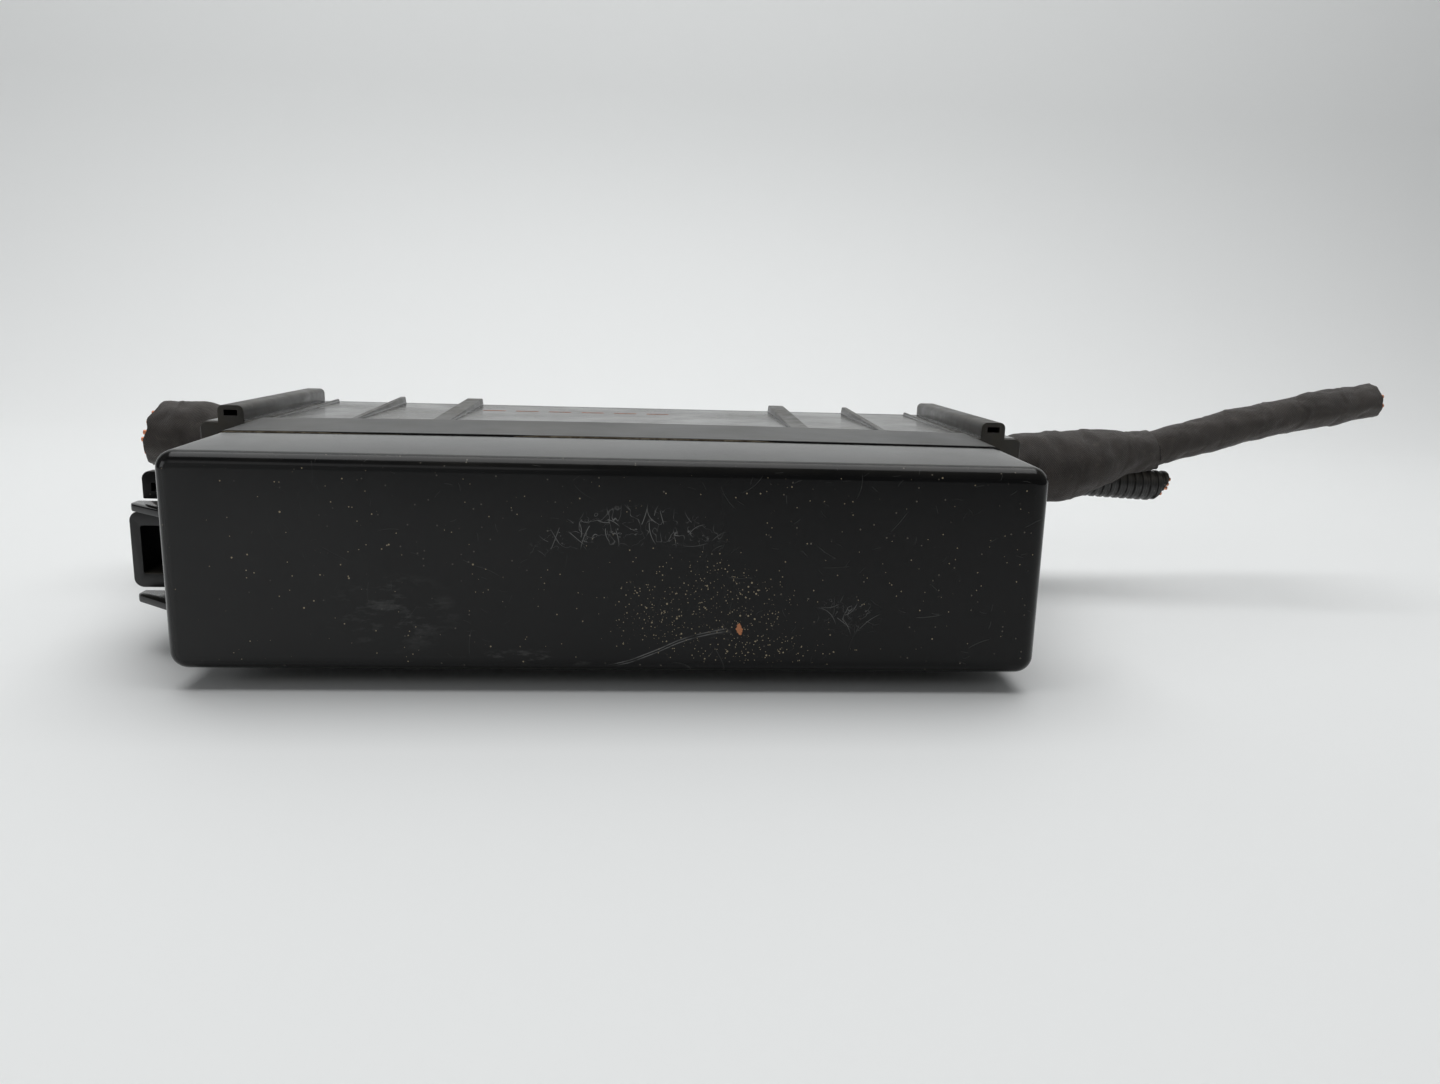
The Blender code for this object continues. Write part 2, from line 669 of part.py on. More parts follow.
def make_collar(plastic):
    collar = collar_ring(plastic)
    fuse(collar, lock_ear())
    for z in hinge_heights():
        fuse(collar, hinge_ear(z - HINGE_TAB / 2 - GAP - HINGE_EAR))
        fuse(collar, hinge_ear(z + HINGE_TAB / 2 + GAP))
    inner = COLLAR_INNER_W + COLLAR_WALL / 2
    for side in (-1, 1):
        xs = sorted((side * (PANEL_SCREW_X - SCREW_EAR), side * inner))
        low = (xs[0], COLLAR_SEAM, PANEL_SCREW_Z - SCREW_EAR)
        high = (xs[1], FLANGE_BACK, PANEL_SCREW_Z + SCREW_EAR)
        fuse(collar, cuboid("screw_ear", low, high))
        base = (side * PANEL_SCREW_X, COLLAR_SEAM - OVERLAP, PANEL_SCREW_Z)
        cut(collar, rod("hole", base, BACKWARD, SCREW_R + GAP, FLANGE_THICK + 2 * OVERLAP))
    return collar


# ================= body =================


def rail(side, face):
    """A slide-in rail on the top (face 1) or underside (face -1)."""
    x = side * RAIL_X
    base = BODY_HEIGHT / 2 - OVERLAP
    top = BODY_HEIGHT / 2 + RAIL_HEIGHT
    half = RAIL_WIDTH / 2
    outline = [(x - half, base), (x - half, top - RAIL_CORNER), (x - half + RAIL_CORNER, top)]
    outline += [(x + half - RAIL_CORNER, top), (x + half, top - RAIL_CORNER), (x + half, base)]
    outline = [(px, MID_Z + face * pz) for px, pz in outline]
    return prism("rail", outline, BODY_FRONT, BODY_BACK, "y")


def rail_slot(side, face):
    x = side * RAIL_X
    half = RAIL_SLOT_WIDTH / 2
    middle = MID_Z + face * (BODY_HEIGHT / 2 + RAIL_SLOT_RISE)
    low = (x - half, BODY_FRONT - OVERLAP, middle - RAIL_SLOT_HEIGHT / 2)
    high = (x + half, BODY_BACK + OVERLAP, middle + RAIL_SLOT_HEIGHT / 2)
    return cuboid("slot", low, high)


def rib(x, width, height, face):
    """A shallow rib that starts behind the collar and runs to the back."""
    base = BODY_HEIGHT / 2 - BLEND
    zs = sorted((MID_Z + face * base, MID_Z + face * (BODY_HEIGHT / 2 + height)))
    low = (x - width / 2, BODY_FRONT + RIB_START, zs[0])
    return cuboid("rib", low, (x + width / 2, BODY_BACK - RIB_STOP, zs[1]))


def lever_lug(low):
    """A lug beside the lever, with an eye for its pin."""
    hole_r = LEVER_PIN_R + PIN_GAP
    reach = hole_r + LUG_EYE_WALL
    inner = LEVER_PIVOT_X + LUG_FOOT
    root = BODY_FRONT + OVERLAP
    outline = [(inner, root), (inner, LEVER_PIVOT_Y - reach)]
    outline += arc((LEVER_PIVOT_X, LEVER_PIVOT_Y), reach, 270, 180, CORNER_STEPS)
    outline += [(LEVER_PIVOT_X - reach, LEVER_PIVOT_Y + LEVER_PIN_R), (-BODY_WIDTH / 2 + BLEND, root)]
    lug = prism("lug", outline, low, low + LEVER_LUG, "z")
    base = (LEVER_PIVOT_X, LEVER_PIVOT_Y, low - OVERLAP)
    cut(lug, rod("hole", base, UP, hole_r, LEVER_LUG + 2 * OVERLAP, sides=ROUND_SMALL))
    return lug


def back_screw_places():
    x = BODY_WIDTH / 2 - BACK_SCREW_INSET
    z = BODY_HEIGHT / 2 - BACK_SCREW_INSET
    return [(sx * x, MID_Z + sz * z) for sx in (-1, 1) for sz in (-1, 1)]


def make_housing(plastic):
    half_w, half_h = BODY_WIDTH / 2, BODY_HEIGHT / 2
    housing = loft(
        "housing",
        [frame_ring(half_w, half_h, BODY_CORNER, y) for y in (BODY_FRONT, BODY_BACK)],
        plastic,
    )
    sleeve_back = BODY_FRONT + OVERLAP
    sleeve = [frame_ring(SLEEVE_HALF_W, SLEEVE_HALF_H, INNER_CORNER, y) for y in (SLEEVE_FRONT, sleeve_back)]
    fuse(housing, loft("sleeve", sleeve))
    for side in (-1, 1):
        for face in (-1, 1):
            fuse(housing, rail(side, face))
            for x, width, height in RIBS:
                fuse(housing, rib(side * x, width, height, face))
    inner_w, inner_h = half_w - BODY_WALL, half_h - BODY_WALL
    front_wall = BODY_FRONT + BODY_WALL
    cavity = [frame_ring(inner_w, inner_h, INNER_CORNER, y) for y in (front_wall, BODY_BACK + OVERLAP)]
    cut(housing, loft("cavity", cavity))
    hole_w, hole_h = SLEEVE_HALF_W - SLEEVE_WALL, SLEEVE_HALF_H - SLEEVE_WALL
    mouth_ys = (SLEEVE_FRONT - OVERLAP, front_wall + OVERLAP)
    mouth = [frame_ring(hole_w, hole_h, LEAST_CORNER, y) for y in mouth_ys]
    cut(housing, loft("mouth", mouth))
    for x, z in back_screw_places():
        base = (x, BOSS_END - BOSS_LENGTH, z)
        fuse(housing, rod("boss", base, BACKWARD, BOSS_R, BOSS_LENGTH, sides=ROUND_SMALL))
    post_foot = MID_Z - inner_h - OVERLAP
    post_height = BOARD_Z - GAP - post_foot
    for x, y in BOARD_HOLES:
        fuse(housing, rod("post", (x, y, post_foot), UP, POST_R, post_height, sides=ROUND_SMALL))
    slots = [rail_slot(side, face) for side in (-1, 1) for face in (-1, 1)]
    pilots = []
    for x, z in back_screw_places():
        depth = BACK_SCREW_LENGTH - BACK_LIP
        base = (x, BOSS_END - depth, z)
        pilots.append(rod("pilot", base, BACKWARD, SCREW_R + GAP, depth + OVERLAP, sides=ROUND_SMALL))
    for x, y in BOARD_HOLES:
        bottom = BOARD_TOP - BOARD_SCREW_LENGTH - OVERLAP
        pilots.append(rod("pilot", (x, y, bottom), UP, SCREW_R + GAP, BOARD_Z - bottom, sides=ROUND_SMALL))
    wire_holes = []
    for side in (-1, 1):
        base = (side * (half_w - 2 * BODY_WALL), WIRE_EXIT_Y, WIRE_EXIT_Z)
        wire_holes.append(rod("wire_hole", base, RIGHT * side, WIRE_HOLE_R, 4 * BODY_WALL))
    cut(housing, merged("holes", slots + pilots + wire_holes))
    for low in (LEVER_LOW - GAP - LEVER_LUG, LEVER_HIGH + GAP):
        fuse(housing, lever_lug(low))
    return housing


def make_back_cover(plastic):
    """The rear plate: a shallow recess outside, and a lip that fits inside the body."""
    half_w, half_h = BODY_WIDTH / 2, BODY_HEIGHT / 2
    inner_w, inner_h = half_w - BODY_WALL - GAP, half_h - BODY_WALL - GAP
    front = BODY_BACK + GAP
    lip_front = BODY_BACK - BACK_LIP
    wall = BACK_LIP_WALL
    edge = BACK_EDGE
    recess_w, recess_h = half_w - BACK_MARGIN, half_h - BACK_MARGIN_Z
    floor_w, floor_h = recess_w - BACK_RECESS, recess_h - BACK_RECESS
    rings = [
        frame_ring(inner_w - wall, inner_h - wall, INNER_CORNER, front),
        frame_ring(inner_w - wall, inner_h - wall, INNER_CORNER, lip_front),
        frame_ring(inner_w, inner_h, INNER_CORNER, lip_front),
        frame_ring(inner_w, inner_h, INNER_CORNER, front),
        frame_ring(half_w, half_h, BODY_CORNER, front),
        frame_ring(half_w, half_h, BODY_CORNER, BACK_FACE - edge),
        frame_ring(half_w - edge, half_h - edge, BODY_CORNER - edge, BACK_FACE),
        frame_ring(recess_w, recess_h, BODY_CORNER, BACK_FACE),
        frame_ring(floor_w, floor_h, INNER_CORNER, BACK_FACE - BACK_RECESS),
    ]
    plate = loft("back_cover", rings, plastic)
    start = lip_front - OVERLAP
    seat = BACK_FACE - SCREW_HEAD - GAP
    hole_r, head_r = SCREW_R + GAP, SCREW_HEAD_R + GAP
    depth = BACK_FACE + OVERLAP - start
    steps = ((hole_r, 0.0), (hole_r, seat - start), (head_r, seat - start), (head_r, depth))
    holes = [turned("hole", steps, (x, start, z), BACKWARD) for x, z in back_screw_places()]
    cut(plate, merged("holes", holes))
    return plate


def screw(name, seat, axis, length, metal):
    """A round-headed screw: seat is the underside of its head, and axis points from tip to head."""
    profile = (
        (SCREW_R * 0.4, -length),
        (SCREW_R, -length + SCREW_TIP),
        (SCREW_R, 0.0),
        (SCREW_HEAD_R, 0.0),
        (SCREW_HEAD_R, SCREW_HEAD * 0.6),
        (SCREW_HEAD_R * 0.72, SCREW_HEAD),
    )
    return turned(name, profile, seat, axis, metal, sides=ROUND_SMALL)


def make_back_screws(metal):
    seat = BACK_FACE - SCREW_HEAD
    return [
        screw(f"back_screw_{k}", (x, seat, z), BACKWARD, BACK_SCREW_LENGTH - OVERLAP, metal)
        for k, (x, z) in enumerate(back_screw_places(), 1)
    ]


# ================= latch =================


def make_lever(plastic):
    """A channel that opens towards the box, on two pins at its back end, with a barb for the tongue."""
    outer = -(SEAM_HALF_W + LEVER_OUT)
    inner = outer + LEVER_WIDTH
    corner = LEVER_CORNER
    web = outer + LEVER_WEB
    low, high = LEVER_LOW, LEVER_HIGH
    outline = [(inner, high), (inner, high - LEVER_ARM), (web, high - LEVER_ARM), (web, low + LEVER_ARM)]
    outline += [(inner, low + LEVER_ARM), (inner, low)]
    outline += arc((outer + corner, low + corner), corner, 270, 180, CORNER_STEPS)
    outline += arc((outer + corner, high - corner), corner, 180, 90, CORNER_STEPS)
    lever = prism("latch_lever", outline, LEVER_FRONT, LEVER_PIVOT_Y + LEVER_TAIL, "y", plastic)
    swing = math.hypot(HINGE_X - TONGUE_LIP_X, TONGUE_REACH - HINGE_Y)
    barb_x = HINGE_X - swing - BARB_GAP
    low_corner = (web - BLEND, BARB_Y, low + LEVER_ARM - BLEND)
    fuse(lever, cuboid("barb", low_corner, (barb_x, BARB_Y + BARB_THICK, high - LEVER_ARM + BLEND)))
    for foot, way in ((high - OVERLAP, UP), (low + OVERLAP, DOWN)):
        base = (LEVER_PIVOT_X, LEVER_PIVOT_Y, foot)
        fuse(lever, rod("pin", base, way, LEVER_PIN_R, OVERLAP + LEVER_LUG, sides=ROUND_SMALL))
    set_origin(lever, (LEVER_PIVOT_X, LEVER_PIVOT_Y, LEVER_MID_Z))
    return lever


# ================= socket panel and what plugs in =================


def relay_places():
    first = -RELAY_PITCH * (RELAY_COUNT - 1) / 2
    return [(first + k * RELAY_PITCH, RELAY_Z) for k in range(RELAY_COUNT)]


def fuse_places():
    return [(FUSE_FIRST_X + k * FUSE_PITCH, FUSE_Z) for k in range(FUSE_COUNT)]


def relay_blades(x, z, grow, start, end):
    """The four blades under a relay: one across at the top and bottom, and one upright at each side."""
    width, thick = RELAY_BLADE[0] / 2 + grow, RELAY_BLADE[1] / 2 + grow
    apart = RELAY_SIDE / 2 - RELAY_BLADE_IN
    across = [(x, z + apart), (x, z - apart)]
    upright = [(x - apart, z), (x + apart, z)]
    blades = []
    for places, half_x, half_z in ((across, width, thick), (upright, thick, width)):
        for a, b in places:
            blades.append(cuboid("blade", (a - half_x, start, b - half_z), (a + half_x, end, b + half_z)))
    return blades


def fuse_blades(x, z, grow, start, end):
    """The two blades of a fuse, one above the other."""
    width, thick = FUSE_BLADE[0] / 2 + grow, FUSE_BLADE[1] / 2 + grow
    apart = (FUSE_BODY[1] - FUSE_BLADE[0]) / 2
    return [
        cuboid("blade", (x - thick, start, b - width), (x + thick, end, b + width))
        for b in (z - apart, z + apart)
    ]


def puller_prongs(grow, start, end):
    half_x, half_z = PULLER_PRONG[0] / 2 + grow, PULLER_PRONG[1] / 2 + grow
    apart = PULLER_SIZE[0] / 2 - PULLER_PRONG[0]
    return [
        cuboid("prong", (x - half_x, start, FUSE_Z - half_z), (x + half_x, end, FUSE_Z + half_z))
        for x in (PULLER_X - apart, PULLER_X + apart)
    ]


def make_panel(plastic):
    """The panel, with a slot through it for every blade."""
    half_w, half_h = COLLAR_INNER_W - GAP, COLLAR_INNER_H - GAP
    rings = [frame_ring(half_w, half_h, INNER_CORNER, y) for y in (PANEL_FRONT, PANEL_BACK)]
    panel = loft("socket_panel", rings, plastic)
    start, end = PANEL_FRONT - OVERLAP, PANEL_BACK + OVERLAP
    slots = []
    for x, z in relay_places():
        slots += relay_blades(x, z, SLOT_GAP, start, end)
    for x, z in fuse_places():
        slots += fuse_blades(x, z, SLOT_GAP, start, end)
    slots += puller_prongs(SLOT_GAP, start, end)
    for x in (-PANEL_SCREW_X, PANEL_SCREW_X):
        base = (x, start, PANEL_SCREW_Z)
        slots.append(rod("hole", base, BACKWARD, SCREW_R + GAP, end - start, sides=ROUND_SMALL))
    cut(panel, merged("slots", slots))
    return panel


def make_relays(plastic):
    relays = []
    base = PLUG_IN_BASE
    half = RELAY_SIDE / 2
    for k, (x, z) in enumerate(relay_places(), 1):
        low, high = (x - half, base - RELAY_HEIGHT, z - half), (x + half, base, z + half)
        relay = cuboid(f"relay_{k}", low, high, plastic, edge=RELAY_EDGE)
        fuse(relay, merged("blades", relay_blades(x, z, 0.0, base - OVERLAP, base + RELAY_BLADE[2])))
        set_origin(relay, (x, base, z))
        relays.append(relay)
    return relays


def make_fuses(plastic):
    fuses = []
    base = PLUG_IN_BASE
    thick, height, out = FUSE_BODY
    tip = base - out
    head = tip + FUSE_HEAD
    wide, narrow = height / 2, height / 2 - FUSE_STEP
    right = [(base, narrow), (head, narrow), (head, wide), (tip, wide)]
    outline = right + [(y, -z) for y, z in reversed(right)]
    for k, (x, z) in enumerate(fuse_places(), 1):
        placed = [(y, z + rise) for y, rise in outline]
        piece = prism(f"fuse_{k}", placed, x - thick / 2, x + thick / 2, "x", plastic)
        fuse(piece, merged("blades", fuse_blades(x, z, 0.0, base - OVERLAP, base + FUSE_BLADE[2])))
        set_origin(piece, (x, base, z))
        fuses.append(piece)
    return fuses


def make_puller(plastic):
    """A bridge with two legs that clip into the panel."""
    base = PLUG_IN_BASE
    length, height, out = PULLER_SIZE
    tip = base - out
    x0, x1 = PULLER_X - length / 2, PULLER_X + length / 2
    inner_0, inner_1 = x0 + PULLER_LEG, x1 - PULLER_LEG
    outline = [(x0, base), (x0, tip), (x1, tip), (x1, base), (inner_1, base)]
    outline += [(inner_1, tip + PULLER_BRIDGE), (inner_0, tip + PULLER_BRIDGE), (inner_0, base)]
    puller = prism("fuse_puller", outline, FUSE_Z - height / 2, FUSE_Z + height / 2, "z", plastic)
    fuse(puller, merged("prongs", puller_prongs(0.0, base - OVERLAP, base + PULLER_PRONG[2])))
    set_origin(puller, (PULLER_X, base, FUSE_Z))
    return puller


def make_panel_screws(metal):
    screws = []
    for name, side in (("left", -1), ("right", 1)):
        seat = (side * PANEL_SCREW_X, COLLAR_SEAM - GAP, PANEL_SCREW_Z)
        screws.append(screw(f"panel_screw_{name}", seat, FORWARD, PANEL_SCREW_LENGTH, metal))
    return screws


def make_bus_bar(copper):
    """A strip between the relays' blades and the fuses' blades, with two legs back to the header."""
    front = PANEL_BACK + GAP
    low = FUSE_Z + FUSE_BODY[1] / 2 + BUS_ABOVE_FUSES
    far = (BUS_HALF_X, front + BUS_THICK, low + BUS_HEIGHT)
    bar = cuboid("bus_bar", (-BUS_HALF_X, front, low), far, copper)
    leg_back = BOARD_FRONT + HEADER_BACK - GAP
    for x in (-BUS_LEG_X, BUS_LEG_X):
        near = (x - BUS_LEG_HALF, front + BUS_THICK / 2, low)
        fuse(bar, cuboid("leg", near, (x + BUS_LEG_HALF, leg_back, low + BUS_THICK)))
    return bar


# ================= board and what is on it =================


def make_board(laminate):
    near = (-BOARD_HALF_X, BOARD_FRONT, BOARD_Z)
    board = cuboid("circuit_board", near, (BOARD_HALF_X, BOARD_BACK, BOARD_TOP), laminate)
    start, depth = BOARD_Z - OVERLAP, BOARD_THICK + 2 * OVERLAP
    holes = [rod("hole", (x, y, start), UP, SCREW_R + GAP, depth, sides=ROUND_SMALL) for x, y in BOARD_HOLES]
    cut(board, merged("holes", holes))
    return board


def make_board_screws(metal):
    return [
        screw(f"board_screw_{k}", (x, y, BOARD_SEAT), UP, BOARD_SCREW_LENGTH, metal)
        for k, (x, y) in enumerate(BOARD_HOLES, 1)
    ]


def on_board(name, low, size, material, edge=0.0):
    """A block that stands on the board: low is its lower left front corner in plan."""
    near = Vector((*low, BOARD_SEAT))
    return cuboid(name, near, near + Vector(size), material, edge)


def make_heat_sink(alloy):
    """An upright plate with fins at its back."""
    width, depth, height = SINK_SIZE
    plate_back, fin_back = SINK_FRONT + SINK_PLATE, SINK_FRONT + depth
    outline = [(SINK_X, SINK_FRONT), (SINK_X + width, SINK_FRONT)]
    pitch = (width - SINK_FIN) / (SINK_FINS - 1)
    for k in reversed(range(SINK_FINS)):
        x = SINK_X + k * pitch
        outline += [(x + SINK_FIN, fin_back), (x, fin_back)]
        if k:
            outline += [(x, plate_back), (x - pitch + SINK_FIN, plate_back)]
    return prism("heat_sink", outline, BOARD_SEAT, BOARD_SEAT + height, "z", alloy)


def make_drivers(epoxy):
    """Four power transistors against the heat sink's front."""
    front = SINK_FRONT - GAP - DRIVER_SIZE[1]
    places = [(DRIVER_FIRST_X + k * DRIVER_PITCH, front) for k in range(DRIVER_COUNT)]
    return [
        on_board(f"driver_{k}", place, DRIVER_SIZE, epoxy, DRIVER_EDGE)
        for k, place in enumerate(places, 1)
    ]


def make_capacitors(sleeve):
    radius, height, rim = CAPACITOR_R, CAPACITOR_HEIGHT, CAPACITOR_RIM
    profile = ((radius - rim, 0.0), (radius, rim), (radius, height - rim), (radius - rim, height))
    y = BOARD_BACK - CAPACITOR_BACK
    return [
        turned(f"capacitor_{k}", profile, (x, y, BOARD_SEAT), UP, sleeve)
        for k, x in enumerate(CAPACITOR_X, 1)
    ]


def make_chip(epoxy):
    """The processor, midway between the header and the capacitors."""
    header_back = BOARD_FRONT + HEADER_BACK + HEADER_SIZE[1]
    capacitor_front = BOARD_BACK - CAPACITOR_BACK - CAPACITOR_R
    front = (header_back + capacitor_front - CHIP_SIZE[1]) / 2
    return on_board("processor_chip", (CHIP_X, front), CHIP_SIZE, epoxy)


def make_header(plastic):
    """The board's pin header, a tray open to the front."""
    width, depth, height = HEADER_SIZE
    front = BOARD_FRONT + HEADER_BACK
    header = on_board("board_header", (-width / 2, front), HEADER_SIZE, plastic)
    near = (-width / 2 + HEADER_WALL, front - OVERLAP, BOARD_SEAT + HEADER_FLOOR)
    far = (width / 2 - HEADER_WALL, front + depth - HEADER_WALL, BOARD_SEAT + height - HEADER_WALL)
    cut(header, cuboid("tray", near, far))
    return header


def make_inner_plug(name, side, plastic):
    """The plug at a bundle's inner end: a tall block on the board, with a nose towards the wires."""
    xs = sorted((side * (PLUG_BACK - PLUG_SIZE[0]), side * PLUG_BACK))
    half = PLUG_SIZE[1] / 2
    near = (xs[0], WIRE_EXIT_Y - half, BOARD_SEAT)
    plug = cuboid(name, near, (xs[1], WIRE_EXIT_Y + half, PLUG_TOP), plastic)
    nose_xs = sorted((side * (PLUG_BACK - OVERLAP), side * (PLUG_BACK + PLUG_NOSE)))
    half = PLUG_NOSE_HALF
    near = (nose_xs[0], WIRE_EXIT_Y - half, WIRE_EXIT_Z - half)
    fuse(plug, cuboid("nose", near, (nose_xs[1], WIRE_EXIT_Y + half, WIRE_EXIT_Z + half)))
    return plug


# ================= wiring =================


def upward(direction):
    """The way up that is square to a bundle's direction."""
    lift = direction.cross(BACKWARD)
    return lift if lift.z > 0 else -lift


def bundle_ring(centre, direction, half_y, half_z, slant=0.0):
    """An oval ring across a bundle. A slant leans it along the bundle as it goes down."""
    direction = Vector(direction).normalized()
    lift = upward(direction)
    points = []
    for k in range(ROUND):
        angle = 2 * math.pi * k / ROUND
        y, z = half_y * math.cos(angle), half_z * math.sin(angle)
        points.append(Vector(centre) + BACKWARD * y + lift * z - direction * slant * z)
    return points


def bundle_rings(stations, side, last_way=None):
    """Rings along a bundle, each one square to the line through its neighbours, the last to last_way.

    A station is the ring's centre, half depth and half height.
    """
    centres = [centre for centre, _, _ in stations]
    rings = []
    for k, (centre, half_y, half_z) in enumerate(stations):
        before, after = centres[max(k - 1, 0)], centres[min(k + 1, len(centres) - 1)]
        direction = after - before
        if k == 0:
            direction = RIGHT * side
        elif last_way and k == len(stations) - 1:
            direction = last_way
        rings.append(bundle_ring(centre, direction, half_y, half_z))
    return rings


def straight_stations(side):
    """The round stretch from the plug, through the grommet, to just outside the body."""
    xs = (BUNDLE_START, BODY_WIDTH / 2 + BUNDLE_STRAIGHT)
    return [(Vector((side * x, WIRE_EXIT_Y, WIRE_EXIT_Z)), BUNDLE_R, BUNDLE_R) for x in xs]


def make_trunk(tape):
    """The taped trunk: it swells, then narrows to the branch, with a pocket for the conduit."""
    stations = straight_stations(1)
    outside = stations[-1][0]
    for share, rise, half_y, half_z in TRUNK_RINGS:
        centre = outside.lerp(BRANCH_START, share)
        centre.z = WIRE_EXIT_Z + rise
        stations.append((centre, half_y, half_z))
    branch_way = (Vector(BRANCH_ROUTE[1]) - BRANCH_START).normalized()
    stations.append((BRANCH_START - branch_way * GAP, *TRUNK_END_R))
    trunk = loft("harness_trunk", bundle_rings(stations, 1, branch_way), tape)
    way = (CONDUIT_TO - CONDUIT_FROM).normalized()
    pocket_length = (CONDUIT_TO - CONDUIT_FROM).length + CONDUIT_R
    cut(trunk, rod("pocket", CONDUIT_FROM - way * GAP, way, CONDUIT_R + GAP, pocket_length))
    return trunk


def make_stub(tape):
    """The taped bundle on the left, cut off at a slant."""
    stations = straight_stations(-1)
    wall = stations[-1][0].x + BUNDLE_STRAIGHT
    for out, rise, half_y, half_z in STUB_RINGS:
        stations.append((Vector((wall - out, WIRE_EXIT_Y, WIRE_EXIT_Z + rise)), half_y, half_z))
    rings = bundle_rings(stations, -1)
    end, half_y, half_z = stub_end()
    rings.append(bundle_ring(end, -RIGHT, half_y, half_z, STUB_END_SLANT))
    return loft("harness_stub", rings, tape)


def stub_end():
    """The middle and the half sizes of the stub's cut end."""
    _, rise, half_y, half_z = STUB_RINGS[-1]
    return Vector((STUB_END_X, WIRE_EXIT_Y, WIRE_EXIT_Z + rise)), half_y, half_z


def cut_wires(name, centre, direction, radius, slant, count, copper):
    """The cut copper at a bundle's end: a thin disc with a ring of wire stumps on it."""
    direction = Vector(direction).normalized()
    base = Vector(centre) + direction * GAP
    faces = (base, base + direction * WIRE_END_DISC)
    disc = loft(name, [bundle_ring(face, direction, radius, radius, slant) for face in faces], copper)
    lift = upward(direction)
    for k in range(count):
        angle = 2 * math.pi * (k + 0.5) / count
        y, z = radius * 0.62 * math.cos(angle), radius * 0.62 * math.sin(angle)
        foot = base + BACKWARD * y + lift * z + direction * (WIRE_END_DISC - WIRE_END_SINK - slant * z)
        length = WIRE_END_LENGTH * (0.75 + 0.25 * math.sin(2.3 * k))
        fuse(disc, rod("stump", foot, direction, radius * 0.17, length, sides=8))
    return disc


def make_conduit(plastic):
    """A corrugated tube, closed by its wires, cut off at a slant."""
    way = (CONDUIT_TO - CONDUIT_FROM).normalized()
    ridged = (CONDUIT_TO - CONDUIT_FROM).length - CONDUIT_PLAIN
    steps = 2 * CONDUIT_RIDGES
    rings = []
    for k in range(steps):
        radius = CONDUIT_R if k % 2 == 0 else CONDUIT_R - CONDUIT_GROOVE
        rings.append(bundle_ring(CONDUIT_FROM + way * ridged * k / (steps - 1), way, radius, radius))
    rings.append(bundle_ring(CONDUIT_TO, way, CONDUIT_R, CONDUIT_R, CONDUIT_SLANT))
    return loft("harness_conduit", rings, plastic)


def smooth_route(points, count):
    """Evenly spaced points on a smooth curve through the route's own points."""
    points = [Vector(p) for p in points]
    padded = [points[0] * 2 - points[1]] + points + [points[-1] * 2 - points[-2]]
    fine = []
    steps = 8
    for a, b, c, d in zip(padded, padded[1:], padded[2:], padded[3:]):
        bend, twist = 2 * a - 5 * b + 4 * c - d, 3 * b - a - 3 * c + d
        for t in [k / steps for k in range(steps)]:
            fine.append(0.5 * (2 * b + (c - a) * t + bend * t**2 + twist * t**3))
    fine.append(points[-1])
    return [fine[round(k * (len(fine) - 1) / (count - 1))] for k in range(count)]


def make_branch(tape):
    curve = bpy.data.curves.new("harness_branch", "CURVE")
    curve.dimensions = "3D"
    curve.bevel_depth = BRANCH_DIAMETER / 2
    curve.bevel_resolution = 4
    curve.use_fill_caps = True
    route = smooth_route(BRANCH_ROUTE, BRANCH_POINTS)
    spline = curve.splines.new("POLY")
    spline.points.add(len(route) - 1)
    for point, place in zip(spline.points, route):
        point.co = (*place, 1.0)
    curve.materials.append(tape)
    obj = bpy.data.objects.new("harness_branch", curve)
    bpy.context.scene.collection.objects.link(obj)
    return obj


def make_grommet(name, side, rubber):
    """A rubber ring with a groove that holds the side wall."""
    inner = BUNDLE_R + GAP
    neck = inner + GROMMET_WALL
    out_face = BODY_WIDTH / 2 + GAP
    in_face = BODY_WIDTH / 2 - BODY_WALL - GAP
    profile = (
        (inner, in_face - GROMMET_FLANGE_THICK),
        (GROMMET_R, in_face - GROMMET_FLANGE_THICK),
        (GROMMET_R, in_face),
        (neck, in_face),
        (neck, out_face),
        (GROMMET_R, out_face),
        (GROMMET_R - GAP, out_face + GROMMET_FLANGE_THICK),
        (inner, out_face + GROMMET_FLANGE_THICK),
    )
    rings = []
    for radius, x in profile:
        centre = (side * x, WIRE_EXIT_Y, WIRE_EXIT_Z)
        rings.append(bundle_ring(centre, RIGHT, radius, radius))
    return loft(name, rings, rubber, closed=True)


# ================= the unit =================


def clear_scene():
    for obj in list(bpy.data.objects):
        bpy.data.objects.remove(obj)


def centre_on_footprint(pieces):
    """Parents every piece to one empty, with the footprint's middle, less the branch, at the origin."""
    unit = bpy.data.objects.new("unit", None)
    bpy.context.scene.collection.objects.link(unit)
    right_end = CONDUIT_TO.x + CUT_REACH_RIGHT
    left_end = STUB_END_X - CUT_REACH_LEFT
    unit.location = (-(right_end + left_end) / 2, -(COVER_FRONT + BACK_FACE) / 2, 0.0)
    for piece in pieces:
        piece.parent = unit


